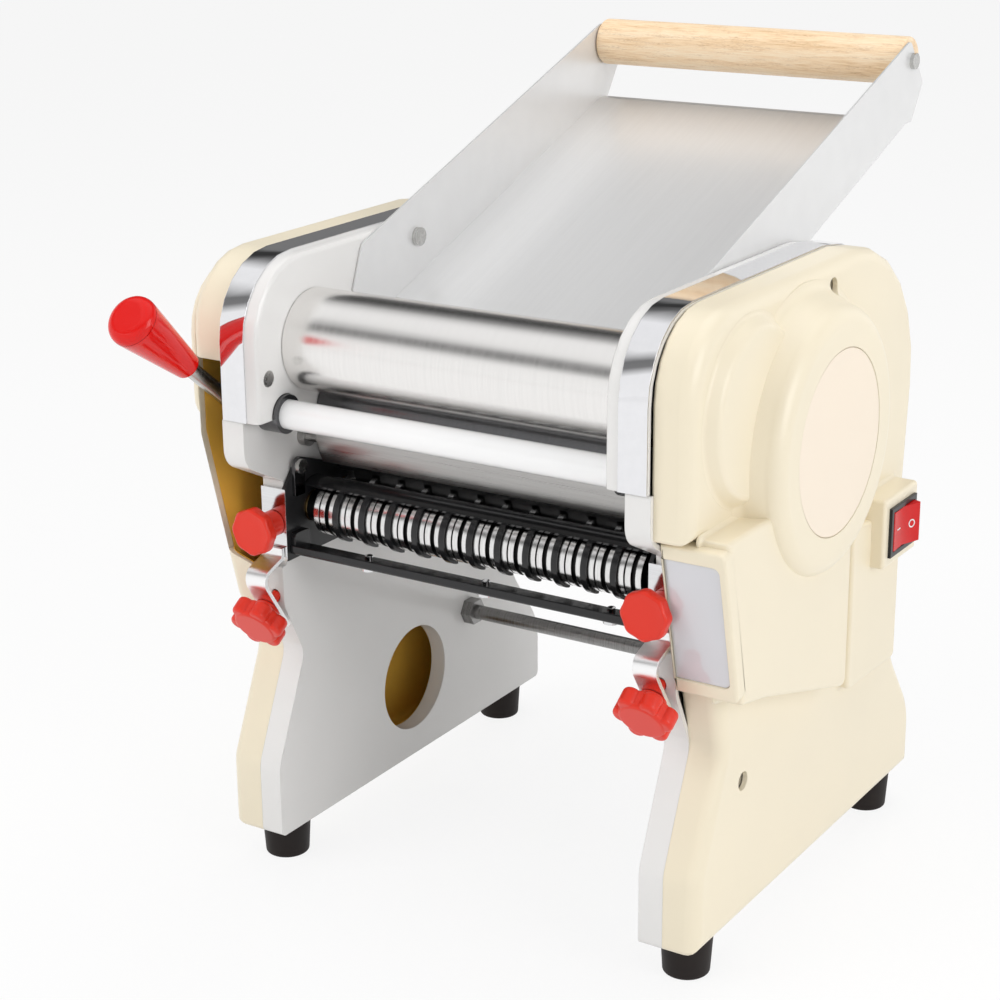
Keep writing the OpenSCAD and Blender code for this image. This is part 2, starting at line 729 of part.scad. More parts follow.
// Tabs that hold the cutter, their screws, and the rivets and bolts of the cross bar
module cutter_fixings() placed() color("silver") {
    both_sides() {
        difference() {
            across(2.5, 4.2) polygon(smooth([[16, 198, 1], [24, 198, 1], [24, 217, 3.9], [16, 217, 3.9]]));
            bar(2, 5, ear_screw, 2.2);
        }
        bar(4.2, 6.4, ear_screw, 3.6);
        bar(0.5, 4.3, ear_screw, 2);
    }
    for (x = bar_fixings) {
        translate([x, 10.9, 177]) rotate([-90, 0, 0]) cylinder(r = 2.6, h = 1.3);
        translate([x, 12, 177]) rotate([-90, 0, 0]) cylinder(r = 1.5, h = 3);
        translate([x - 8, 20, 166.6]) cylinder(r = 4, h = 2.6);
        translate([x - 8, 20, 168]) cylinder(r = 2, h = 6);
    }
}

// ---- Drive train, motor side ----
module roller_drive_gear() placed() color("slategray")
    gear(small_gear_x, small_gear_w, front_axis, 28, module_a, 0, journal_d / 2 + close);

module intermediate_gear() placed() color("slategray") {
    gear(small_gear_x, small_gear_w, stud_axis, 32, module_a, phase_32, stud_r + run);
    gear(big_gear_x, gear_w, stud_axis, 50, module_c, 0, stud_r + run);
    ring(big_gear_x, small_gear_x + 1, stud_axis, 14, stud_r + run);
}

module cutter_idler() placed() color("slategray") {
    gear(small_gear_x, small_gear_w, idler_axis, 16, module_a, phase_16, stud_r + run);
    ring(small_gear_x - 1.5, small_gear_x + 1, idler_axis, 10, stud_r + run);
}

module front_cutter_gear() placed() color("slategray")
    gear(small_gear_x, small_gear_w, cutter_front, 10, module_a, phase_10, cutter_journal_d / 2 + close);

module rear_cutter_gear() placed() color("slategray")
    gear(small_gear_x, small_gear_w, cutter_rear, 10, module_a,
        mesh(cutter_front, 10, phase_10, cutter_rear, 10), cutter_journal_d / 2 + close);

module gear_studs() placed() color("silver") {
    for (c = [stud_axis, idler_axis]) {
        bar(motor_plate_out - plate_t, small_gear_x + small_gear_w + 1, c, stud_r);
        bar(small_gear_x + small_gear_w + seat, small_gear_x + small_gear_w + 1.6, c, stud_r + 3);
    }
    ring(motor_plate_out, big_gear_x - seat, stud_axis, stud_r + 4, stud_r);
    ring(motor_plate_out, small_gear_x - 1.5 - seat, idler_axis, stud_r + 3, stud_r);
}

module motor_pinion() placed() color("slategray") {
    gear(big_gear_x, gear_w, motor_axis, 12, module_c, mesh(stud_axis, 50, 0, motor_axis, 12), 4.5);
    bar(motor_x1 - 4, big_gear_x + gear_w + 1, motor_axis, 4.5);
}

module motor() placed() color("gray") {
    difference() {
        turned_about(motor_axis, [
            [0, motor_x0, 0], [28, motor_x0, 4], [40, motor_x0 + 12, 3],
            [40, motor_x1 - 6, 2], [30, motor_x1, 2], [0, motor_x1, 0]]);
        bar(motor_x1 - 5, motor_x1 + 1, motor_axis, 5);
        for (a = [0:30:330]) across(motor_x0 + 20, motor_x1 - 20)
            translate(motor_axis + 41 * [cos(a), sin(a)]) circle(2.5);
    }
}

module motor_bracket() placed() color("gray") {
    difference() {
        across(motor_x1, motor_x1 + 3) difference() {
            translate(motor_axis - [39, 38]) square([78, 66]);
            translate(motor_axis) circle(12);
        }
        for (p = bracket_holes) bar(motor_x1 - 1, motor_x1 + 9, p, 2.2);
    }
    for (p = bracket_holes) ring(motor_x1 + 3, inner_w, p, 5, 2.2);
}

// ---- Back sheets ----
guard_path = [[97, 172, 0], [97, 152, 4], [rear_y(152) - 5.5, 152, 6], [rear_y(242) - 5.5, 242, 0]];
top_path = [[118, 283, 0], [192, 297, 14], [rear_y(262) - 8, 262, 20], [rear_y(244) - 7, 244.5, 0]];

module motor_guard() placed() color("silver") difference() {
    across(seat, inner_w - seat) polygon(smooth(sheet(guard_path, 1)));
    for (k = [0:6]) translate([60 + k * 14, foot_depth - 60, 196]) cube([6, 60, 34]);
    translate([gland_x, foot_depth - 60, 172]) rotate([-90, 0, 0]) cylinder(r = 6 + close, h = 60);
    for (k = [0:5]) translate([110 + k * 12, 120, 140]) cube([5, 60, 20]);
}

module rear_cover() placed() color("silver") difference() {
    across(casing_in + seat, inner_w - casing_in - seat) polygon(smooth(sheet(top_path, 1)));
    for (k = [0:6]) translate([60 + k * 14, 196, 255]) rotate([35, 0, 0]) cube([6, 60, 34]);
}

module cord_gland() placed() color("black") translate([gland_x, guard_y(172), 172]) rotate([-90, 0, 0]) {
    translate([0, 0, -4]) ring_z(6, 3.5, 12);
    translate([0, 0, 1.7]) ring_z(9, 3.5, 4);
    translate([0, 0, -6.5]) ring_z(8.5, 3.5, 4.8);
    translate([0, 0, 5]) rotate_extrude() polygon([[3.5, 0], [7, 0], [5.2, 14], [3.5, 14]]);
}

module ring_z(r_out, r_in, h) difference() {
    cylinder(r = r_out, h = h);
    translate([0, 0, -1]) cylinder(r = r_in, h = h + 2);
}

function guard_y(z) = rear_y(152) - 5.5 + (z - 152) * (rear_y(242) - rear_y(152)) / 90;

// ---- Tie rods ----
module tie_rods() placed() color("silver") for (c = [low_rod_axis, tray_rod_axis])
    bar(-14, inner_w + 14 - 1.5, c, 4);

module hex_nut(x, c) across(x, x + 6.5) translate(c) difference() {
    circle(r = 7.5, $fn = 6);
    circle(4 + close);
}

module tie_rod_nuts() placed() color("silver") both_sides() {
    hex_nut(0, low_rod_axis);
    hex_nut(-wall - 6.5, low_rod_axis);
    hex_nut(plate_in, tray_rod_axis);
    hex_nut(plate_out - 6.5, tray_rod_axis);
}

// ---- Feet ----
module rubber_feet() placed() color("black")
    for (x = [-14.1, inner_w + 14.1], y = foot_places) translate([x, y, 0]) rotate_extrude()
        polygon(smooth([[0, 0, 0], [foot_d / 2 - 1.3, 0, 1.5], [foot_d / 2, foot_h, 0], [0, foot_h, 0]]));

// ---- Covers ----
module screw_boss(x0, x1, p) ring(x0, x1, p, 6.5, 2 + close);

module left_cover_body() {
    x1 = -left_cover_x;
    slot_x = x1 - wall + 0.5;
    bulge = [[-9, 236, 12], [205, 236, 22], [215, 288, 34], [150, 312, 30], [-9, 312, 32]];
    difference() {
        union() {
            stepped(cover_outline, stand_t, x1, 4);
            stepped(bulge, x1 - 1, x1 + left_bulge, 2);
        }
        difference() {
            union() {
                hollow(inset(cover_outline, wall), stand_t - 1, x1 - wall, 3);
                hollow(inset(bulge, wall), x1 - 6, x1 + left_bulge - wall, 1.5);
            }
            for (p = cover_screw_places) bar(stand_t, x1 + 1, p, 6.5);
            translate([stand_t + 2, 120, 30]) cube([30, 2, 60]);
        }
        translate([0, 20, 0]) rotate([90, 0, 0]) linear_extrude(60)
            polygon([[0, 163], [26, 163], [slot_x, 169], [slot_x, 271], [0, 271]]);
        for (p = cover_screw_places) bar(stand_t - 1, x1 + 9, p, 2 + close);
        for (p = cover_screw_places) bar(x1 - 5, x1 + 9, p, 4.6);
    }
    screw_boss(wall, stand_t + 1, cover_screw_places[0]);
    screw_boss(-plate_out, stand_t + 1, cover_screw_places[1]);
}

module left_side_cover() placed() color("cornsilk") mirror([1, 0, 0]) left_cover_body();

// Raised block behind the front box and the lower one beside the switch
block_rear = [[36, 139, 12], [126, 112, 4], [126, 200, 2], [60, 224, 2]];
block_outline = concat([box_back0, box_back1], block_rear);
block_room = concat([[box_cut0[0], 224, 2], [box_cut1[0], box_cut1[1], 2]], block_rear);
side_block_outline = [[147, 100, 4], [206, 98, 4], [206, 178, 2], [147, 186, 2]];
switch_box_outline = [[168, 158, 2], [209, 158, 2], [209, 194, 2], [168, 194, 2]];
crescent_axis = [38.5, 270];

module motor_cover_outside() {
    stepped(cover_outline, inner_w + stand_t, cover_x, 4);
    stepped(block_outline, cover_x - 1, box_x, 2);
    stepped(side_block_outline, cover_x - 1.2, cover_x + 6, 2);
    stepped(switch_box_outline, cover_x - 1.4, switch_x, 2);
    turned_about(crescent_axis, [
        [0, cover_x - 4, 0], [43, cover_x - 4, 0], [43, cover_x, 0], [40, cover_x, 1.9],
        [36, cover_x + 6, 3], [0, cover_x + 6, 0]]);
    turned_about(stud_axis, [
        [0, cover_x - 4, 0], [boss_r + 5, cover_x - 4, 0], [boss_r + 5, cover_x, 0], [boss_r, cover_x, 4.5],
        [boss_r - 3, boss_x, 6], [0, boss_x, 0]]);
}

module motor_cover_inside() {
    hollow(inset(cover_outline, wall), inner_w + stand_t - 1, cover_x - wall, 3);
    hollow(inset(block_room, wall), cover_x - 10, box_x - wall, 0);
    hollow(inset(side_block_outline, wall), cover_x - 6, cover_x + 6 - wall, 0);
    hollow(inset(switch_box_outline, wall), cover_x - 6, switch_x - wall, 0);
    bar(cover_x - 4, boss_x - wall, stud_axis, boss_r - 3 - wall);
    bar(inner_w + stand_t - 1, small_gear_x + small_gear_w + 1, idler_axis, 10 * module_a - 1.5);
}

module motor_cover() placed() color("cornsilk") {
    difference() {
        motor_cover_outside();
        difference() {
            motor_cover_inside();
            for (p = cover_screw_places) bar(inner_w + stand_t - 1, cover_x, p, 6.5);
        }
        across(inner_w + stand_t - 1, box_x + 1)
            polygon([[-40, 221.8], [box_cut0[0], 221.8], box_cut1, [-40, box_cut1[1]]]);
        bar(boss_x - disc_t, boss_x + 1, stud_axis, disc_r + 0.2);
        for (p = cover_screw_places) bar(inner_w, cover_x + 9, p, 2 + close);
        for (p = cover_screw_places) bar(cover_x - 5, cover_x + 9, p, 4.6);
        translate([switch_x - 10, switch_at[0] - bezel_w / 2 + 1.3, switch_at[1] - bezel_h / 2 + 1.3])
            cube([20, bezel_w - 2.6, bezel_h - 2.6]);
    }
    screw_boss(inner_w + wall, inner_w + stand_t + 1, cover_screw_places[0]);
    screw_boss(motor_plate_out, inner_w + stand_t + 1, cover_screw_places[1]);
}

module boss_disc() placed() color("linen") bar(boss_x - disc_t, boss_x - 0.2, stud_axis, disc_r);

module cover_screws() placed() color("silver") {
    for (p = cover_screw_places) {
        bar(cover_x - 5, cover_x - 2.6, p, 4);
        bar(inner_w + stand_t, cover_x - 5, p, 2);
        bar(left_cover_x + 2.6, left_cover_x + 5, p, 4);
        bar(left_cover_x + 5, -stand_t, p, 2);
    }
    both_sides() for (p = casing_screw_places) {
        bar(plate_out, casing_in - 2, p, 2);
        translate([casing_in - 2, p[0], p[1]]) rotate([0, 90, 0]) cylinder(r1 = 2, r2 = 4, h = 1.8);
    }
}

// ---- Front box beside the cutter knob ----
module front_box_frame() placed() color("cornsilk") difference() {
    across(inner_w + stand_t + seat, box_x) polygon([box_front0, box_front1, box_rear1, box_rear0]);
    across(inner_w + stand_t, box_x - 3.5) polygon([
        box_front0 + 7 * box_down - 5 * box_in, box_front1 - 7 * box_down - 5 * box_in,
        box_front1 - 7 * box_down + 3 * box_in, box_front0 + 7 * box_down + 3 * box_in]);
    across(inner_w + stand_t + 4, box_x - 6) polygon([
        box_front0 + 10 * box_down, box_front1 - 10 * box_down,
        box_front1 - 10 * box_down + 12 * box_in, box_front0 + 10 * box_down + 12 * box_in]);
}

module front_box_panel() placed() color("lightgray")
    across(inner_w + stand_t + seat, box_x - 3.5 - 0.1) polygon([
        box_front0 + 7.1 * box_down + box_in, box_front1 - 7.1 * box_down + box_in,
        box_front1 - 7.1 * box_down + 2.95 * box_in, box_front0 + 7.1 * box_down + 2.95 * box_in]);

// ---- Knobs and clips ----
// Lobed knob along +Z: its face at z = 0, its back at z = h
module lobed_knob(r, lobes, lobe_r, h, edge) {
    rotate_extrude() polygon(smooth([
        [0, 0, 0], [r - lobe_r * 0.7, 0, edge], [r - lobe_r * 0.7, h, edge], [0, h, 0]]));
    for (k = [0:lobes - 1]) rotate(k * 360 / lobes) translate([r - lobe_r, 0, 0]) rotate_extrude($fn = 24)
        polygon(smooth([[0, 0.4, 0], [lobe_r, 0.4, edge], [lobe_r, h - 0.4, edge], [0, h - 0.4, 0]]));
}

module upper_knob() color("red") translate([knob_x, -8.7, upper_knob_z]) rotate([-90, 0, 0]) {
    lobed_knob(upper_knob_d / 2, 8, 3.2, 6.2, 1.4);
    translate([0, 0, 5]) cylinder(r = 6.5, h = 13.4);
    translate([0, 0, 15]) cylinder(r = 2.5, h = 9.2);
}

module lower_knob() color("red") translate([knob_x, clip_point[0], clip_point[1]])
    rotate([clip_tilt - 90, 0, 0]) {
        translate([0, 0, -15]) lobed_knob(lower_knob_d / 2, 6, 4.6, 10, 2);
        translate([0, 0, -6]) cylinder(r = 6.5, h = 6 - clip_t / 2 - seat);
        translate([0, 0, -2]) cylinder(r = 2.5, h = 10);
    }

module upper_left_knob() placed() upper_knob();
module upper_right_knob() placed() right_side() upper_knob();
module lower_left_knob() placed() lower_knob();
module lower_right_knob() placed() right_side() lower_knob();

module clamp_clips() placed() color("silver") both_sides() difference() {
    across(knob_x - clip_w / 2, knob_x + clip_w / 2)
        polygon(smooth(sheet([[8.6, 173, 0], [8.6, 168, 3], [-5.5, 163, 5], [-5.5, 157, 6],
            clip_point + 14 * [sin(clip_tilt), -cos(clip_tilt)]], clip_t)));
    clip_screw_hole_through();
}

module clip_screw_hole_through() {
    translate([knob_x, clip_point[0], clip_point[1]]) rotate([clip_tilt - 90, 0, 0])
        translate([0, 0, -6]) cylinder(r = 2.8, h = 12);
}

// ---- Chute ----
module chute_tray() placed() color("lightgray") {
    across(roller_x, inner_w - roller_x)
        polygon(smooth(sheet([chute_front, concat(chute_end, 1.5), chute_end + [7, 0]], chute_t)));
    both_sides() difference() {
        across(roller_x, roller_x + chute_t) polygon(smooth(flange_outline));
        bar(0, 20, chute_screw, 2.5 + close);
        bar(0, 20, handle_axis, 2.5 + close);
    }
}

module chute_screws() placed() color("silver") both_sides() {
    bar(casing_in - wall - 1, roller_x + chute_t, chute_screw, 2.5);
    bar(roller_x + chute_t, roller_x + chute_t + 2.6, chute_screw, 4.6);
    bar(roller_x - 2.2, roller_x, handle_axis, 4.2);
    bar(roller_x, roller_x + 16, handle_axis, 2.5);
}

module wooden_handle() placed() color("burlywood") difference() {
    turned_about(handle_axis, [
        [0, roller_x + chute_t + seat, 0], [handle_d / 2, roller_x + chute_t + seat, 2],
        [handle_d / 2, inner_w - roller_x - chute_t - seat, 2], [0, inner_w - roller_x - chute_t - seat, 0]]);
    both_sides() bar(0, roller_x + 17, handle_axis, 2.5 + run);
}

// ---- Switch ----
module switch_bezel() placed() color("black") difference() {
    union() {
        translate([switch_x, switch_at[0] - bezel_w / 2, switch_at[1] - bezel_h / 2])
            cube([1.6, bezel_w, bezel_h]);
        translate([switch_x - 9, switch_at[0] - bezel_w / 2 + 1.4, switch_at[1] - bezel_h / 2 + 1.4])
            cube([10, bezel_w - 2.8, bezel_h - 2.8]);
    }
    translate([switch_x - 8, switch_at[0] - bezel_w / 2 + 2.4, switch_at[1] - bezel_h / 2 + 2.4])
        cube([20, bezel_w - 4.8, bezel_h - 4.8]);
}

module switch_rocker() placed() color("red") translate([switch_x - 1, switch_at[0], switch_at[1]])
    rotate([0, 0, -rocker_tilt]) translate([0, 0, -bezel_h / 2 + 2.7]) linear_extrude(bezel_h - 5.4)
    intersection() {
        circle(bezel_w / 2 - 2.8);
        polygon([[-4, -20], [4.6, -20], [4.6, -11], [2.4, 0], [4.6, 11], [4.6, 20], [-4, 20]]);
    }

left_stand_panel();
right_stand_panel();
left_head_casing();
right_head_casing();
chrome_trims();
left_bearing_plate();
right_bearing_plate();
left_side_cover();
motor_cover();
boss_disc();
front_box_frame();
front_box_panel();
cover_screws();
rubber_feet();
tie_rods();
tie_rod_nuts();
rear_cover();
motor_guard();
cord_gland();
front_press_roller();
front_roller_bushes();
rear_press_roller();
rear_roller_bushes();
bearing_blocks();
front_timing_gear();
rear_timing_gear();
adjusting_shaft();
adjusting_lever();
lever_grip();
guard_tube();
guard_tube_bushes();
front_scraper();
rear_scraper();
front_cutter_roller();
rear_cutter_roller();
front_comb();
rear_comb();
cutter_side_plates();
cutter_bushes();
cutter_cross_bar();
cutter_fixings();
roller_drive_gear();
intermediate_gear();
cutter_idler();
front_cutter_gear();
rear_cutter_gear();
gear_studs();
motor_pinion();
motor();
motor_bracket();
upper_left_knob();
upper_right_knob();
lower_left_knob();
lower_right_knob();
clamp_clips();
chute_tray();
chute_screws();
wooden_handle();
switch_bezel();
switch_rocker();
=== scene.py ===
"""Looks of the electric pasta maker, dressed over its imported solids."""

import json
import math

import bmesh
import bpy
import numpy as np
from mathutils import Matrix, Vector


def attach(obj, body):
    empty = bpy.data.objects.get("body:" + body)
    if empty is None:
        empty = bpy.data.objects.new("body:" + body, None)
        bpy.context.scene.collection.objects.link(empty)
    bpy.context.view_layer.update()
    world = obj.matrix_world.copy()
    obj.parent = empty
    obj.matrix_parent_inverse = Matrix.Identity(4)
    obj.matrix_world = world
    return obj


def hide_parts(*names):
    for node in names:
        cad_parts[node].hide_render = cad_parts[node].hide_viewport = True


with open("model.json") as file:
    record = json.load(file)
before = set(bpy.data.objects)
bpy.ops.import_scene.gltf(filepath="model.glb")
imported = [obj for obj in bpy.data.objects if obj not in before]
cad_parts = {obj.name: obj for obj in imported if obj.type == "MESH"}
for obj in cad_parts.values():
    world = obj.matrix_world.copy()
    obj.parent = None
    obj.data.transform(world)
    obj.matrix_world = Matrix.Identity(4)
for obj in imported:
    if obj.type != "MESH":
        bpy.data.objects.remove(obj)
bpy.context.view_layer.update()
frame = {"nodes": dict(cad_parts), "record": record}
NODES = frame["nodes"]
MM = 0.001

# ---------------------------------------------------------------- camera, light and floor
CAMERA_AT = Vector((534.0, -926.6, 538.0)) * MM
CAMERA_FORWARD = Vector((-0.5095, 0.8008, -0.3147))
CAMERA_ROLL = math.radians(-0.495)
WORLD_LIGHT = 0.56
MIRRORED_SKY = ((0.0, (1, 1, 1, 1)), (0.36, (0.97, 0.97, 0.97, 1)), (0.5, (0.22, 0.22, 0.22, 1)),
                (0.6, (0.2, 0.2, 0.2, 1)), (0.76, (0.95, 0.95, 0.95, 1)), (1.0, (0.95, 0.95, 0.96, 1)))
FLAG_TOWARDS = (-0.50, 0.76, 0.42)
FLAG_EDGE = {"From Min": 0.72, "From Max": 0.93, "To Min": 1.0, "To Max": 0.2}
FLOOR_COLOUR = (0.93, 0.93, 0.93, 1)
FLOOR_GLOW = 0.86
FLOOR_HALF_SIDE = 6.0


def make_camera():
    """Camera from its place, its direction and a small roll about that direction."""
    data = bpy.data.cameras.new("camera")
    data.lens = 80.16
    data.sensor_width = 36.0
    data.clip_start = 0.05
    data.clip_end = 60.0
    camera = bpy.data.objects.new("camera", data)
    forward = CAMERA_FORWARD.normalized()
    level = forward.cross(Vector((0, 0, 1))).normalized()
    upright = level.cross(forward)
    right = level * math.cos(CAMERA_ROLL) + upright * math.sin(CAMERA_ROLL)
    up = upright * math.cos(CAMERA_ROLL) - level * math.sin(CAMERA_ROLL)
    turn = Matrix((right, up, -forward)).transposed().to_4x4()
    camera.matrix_world = Matrix.Translation(CAMERA_AT) @ turn
    bpy.context.scene.collection.objects.link(camera)
    bpy.context.scene.camera = camera


def softbox(name, at, size, power, target=(0, 0, 0.2)):
    """Rectangular area lamp at a point, aimed at a target."""
    data = bpy.data.lights.new(name, "AREA")
    data.shape = "RECTANGLE"
    data.size, data.size_y = size
    data.energy = power
    lamp = bpy.data.objects.new(name, data)
    aim = Vector(target) - Vector(at)
    lamp.matrix_world = Matrix.Translation(at) @ aim.to_track_quat("-Z", "Y").to_matrix().to_4x4()
    bpy.context.scene.collection.objects.link(lamp)
    return lamp


def make_world():
    """Plain pale surround. Mirrored, it is white low down, dark half way up and white again overhead, with a
    dark flag behind and to the left."""
    world = bpy.data.worlds.new("studio")
    bpy.context.scene.world = world
    world.use_nodes = True
    tree = world.node_tree
    tree.nodes.clear()
    place = tree.nodes.new("ShaderNodeTexCoord")
    split = tree.nodes.new("ShaderNodeSeparateXYZ")
    height = tree.nodes.new("ShaderNodeValToRGB")
    stops = height.color_ramp.elements
    stops[0].color, stops[1].color = MIRRORED_SKY[0][1], MIRRORED_SKY[-1][1]
    for at, colour in MIRRORED_SKY[1:-1]:
        stops.new(at).color = colour
    paths = tree.nodes.new("ShaderNodeLightPath")
    mirrored = tree.nodes.new("ShaderNodeBackground")
    diffuse = tree.nodes.new("ShaderNodeBackground")
    diffuse.inputs["Color"].default_value = (1, 1, 1, 1)
    diffuse.inputs["Strength"].default_value = WORLD_LIGHT
    seen = tree.nodes.new("ShaderNodeBackground")
    seen.inputs["Color"].default_value = (1, 1, 1, 1)
    first = tree.nodes.new("ShaderNodeMixShader")
    second = tree.nodes.new("ShaderNodeMixShader")
    either = tree.nodes.new("ShaderNodeMath")
    either.operation = "MAXIMUM"
    out = tree.nodes.new("ShaderNodeOutputWorld")
    link = tree.links.new
    link(place.outputs["Generated"], split.inputs[0])
    link(split.outputs["Z"], height.inputs["Fac"])
    lean = tree.nodes.new("ShaderNodeVectorMath")
    lean.operation = "DOT_PRODUCT"
    lean.inputs[1].default_value = FLAG_TOWARDS
    flag = tree.nodes.new("ShaderNodeMapRange")
    for label, value in FLAG_EDGE.items():
        flag.inputs[label].default_value = value
    shaded = tree.nodes.new("ShaderNodeVectorMath")
    shaded.operation = "SCALE"
    link(place.outputs["Generated"], lean.inputs[0])
    link(lean.outputs["Value"], flag.inputs["Value"])
    link(height.outputs["Color"], shaded.inputs[0])
    link(flag.outputs["Result"], shaded.inputs["Scale"])
    link(shaded.outputs[0], mirrored.inputs["Color"])
    link(paths.outputs["Is Glossy Ray"], either.inputs[0])
    link(paths.outputs["Is Transmission Ray"], either.inputs[1])
    link(either.outputs[0], first.inputs["Fac"])
    link(diffuse.outputs[0], first.inputs[1])
    link(mirrored.outputs[0], first.inputs[2])
    link(paths.outputs["Is Camera Ray"], second.inputs["Fac"])
    link(first.outputs[0], second.inputs[1])
    link(seen.outputs[0], second.inputs[2])
    link(second.outputs[0], out.inputs["Surface"])


def make_floor():
    """Wide pale floor that keeps the object's shadow and a faint mirror of it."""
    mesh = bpy.data.meshes.new("floor")
    corners = [(x * FLOOR_HALF_SIDE, y * FLOOR_HALF_SIDE, 0) for x, y in ((-1, -1), (1, -1), (1, 1), (-1, 1))]
    mesh.from_pydata(corners, [], [(0, 1, 2, 3)])
    floor = bpy.data.objects.new("floor", mesh)
    material = bpy.data.materials.new("floor")
    material.use_nodes = True
    tree = material.node_tree
    shader = tree.nodes["Principled BSDF"]
    shader.inputs["Base Color"].default_value = FLOOR_COLOUR
    shader.inputs["Roughness"].default_value = 0.3
    shader.inputs["Specular IOR Level"].default_value = 0.35
    glow = tree.nodes.new("ShaderNodeEmission")
    glow.inputs["Color"].default_value = (1, 1, 1, 1)
    paths = tree.nodes.new("ShaderNodeLightPath")
    seen = tree.nodes.new("ShaderNodeMath")
    seen.operation = "MAXIMUM"
    share = tree.nodes.new("ShaderNodeMath")
    share.operation = "MULTIPLY"
    share.inputs[1].default_value = FLOOR_GLOW
    mix = tree.nodes.new("ShaderNodeMixShader")
    out = tree.nodes["Material Output"]
    link = tree.links.new
    link(paths.outputs["Is Camera Ray"], seen.inputs[0])
    link(paths.outputs["Is Glossy Ray"], seen.inputs[1])
    link(seen.outputs[0], share.inputs[0])
    link(share.outputs[0], mix.inputs["Fac"])
    link(shader.outputs[0], mix.inputs[1])
    link(glow.outputs[0], mix.inputs[2])
    link(mix.outputs[0], out.inputs["Surface"])
    mesh.materials.append(material)
    bpy.context.scene.collection.objects.link(floor)


make_camera()
make_world()
make_floor()
softbox("front_left_box", (-1.1, -1.5, 1.3), (1.3, 1.1), 16).visible_glossy = False
softbox("right_box", (1.9, -0.4, 1.0), (1.2, 1.2), 15, target=(0.1, 0, 0.2))
softbox("top_box", (0.1, 0.5, 1.9), (1.2, 1.2), 11).visible_glossy = False
bpy.context.scene.view_settings.view_transform = "Standard"

# ---------------------------------------------------------------- shared effects
def effect(name, inputs, outputs):
    """Empty node group with the named inputs and outputs."""
    group = bpy.data.node_groups.new(name, "ShaderNodeTree")
    for label, kind in inputs:
        group.interface.new_socket(label, in_out="INPUT", socket_type="NodeSocket" + kind)
    for label, kind in outputs:
        group.interface.new_socket(label, in_out="OUTPUT", socket_type="NodeSocket" + kind)
    return group, group.nodes.new("NodeGroupInput"), group.nodes.new("NodeGroupOutput")


def add_math(tree, operation, a, b):
    """Math node on two inputs, each a socket or a number."""
    node = tree.nodes.new("ShaderNodeMath")
    node.operation = operation
    for slot, value in zip(node.inputs, (a, b)):
        if isinstance(value, (int, float)):
            slot.default_value = value
        else:
            tree.links.new(value, slot)
    return node.outputs[0]


def add_noise(tree, vector, scale, detail):
    """Noise over a vector, its scale a socket or a number."""
    node = tree.nodes.new("ShaderNodeTexNoise")
    node.inputs["Detail"].default_value = detail
    tree.links.new(vector, node.inputs["Vector"])
    if isinstance(scale, (int, float)):
        node.inputs["Scale"].default_value = scale
    else:
        tree.links.new(scale, node.inputs["Scale"])
    return node.outputs["Fac"]


def make_tone_effect():
    """Slow drift of tone over a surface with fine specks: Tone is about 0.5 and Specks about 0 to 1."""
    group, taken, given = effect(
        "surface_tone", [("Vector", "Vector"), ("Size", "Float")], [("Tone", "Float"), ("Specks", "Float")])
    broad = add_noise(group, taken.outputs["Vector"], taken.outputs["Size"], 3.0)
    fine = add_noise(group, taken.outputs["Vector"], add_math(group, "MULTIPLY", taken.outputs["Size"], 37.0), 2.0)
    group.links.new(broad, given.inputs["Tone"])
    group.links.new(fine, given.inputs["Specks"])
    return group


def make_lines_effect():
    """Fine lines from turning, rolling or brushing: noise squeezed along one direction by Stretch."""
    group, taken, given = effect(
        "tool_lines", [("Vector", "Vector"), ("Stretch", "Vector"), ("Coarse", "Float")],
        [("Lines", "Float"), ("Height", "Float")])
    squeeze = group.nodes.new("ShaderNodeVectorMath")
    squeeze.operation = "MULTIPLY"
    group.links.new(taken.outputs["Vector"], squeeze.inputs[0])
    group.links.new(taken.outputs["Stretch"], squeeze.inputs[1])
    wide = add_noise(group, squeeze.outputs[0], taken.outputs["Coarse"], 2.0)
    thin = add_noise(group, squeeze.outputs[0], add_math(group, "MULTIPLY", taken.outputs["Coarse"], 9.0), 3.0)
    mixed = add_math(group, "ADD", add_math(group, "MULTIPLY", wide, 0.45), add_math(group, "MULTIPLY", thin, 0.55))
    group.links.new(mixed, given.inputs["Lines"])
    group.links.new(thin, given.inputs["Height"])
    return group


TONE = make_tone_effect()
LINES = make_lines_effect()
PLAIN = {
    "metallic": "Metallic", "coat": "Coat Weight", "coat_roughness": "Coat Roughness",
    "specular": "Specular IOR Level",
}


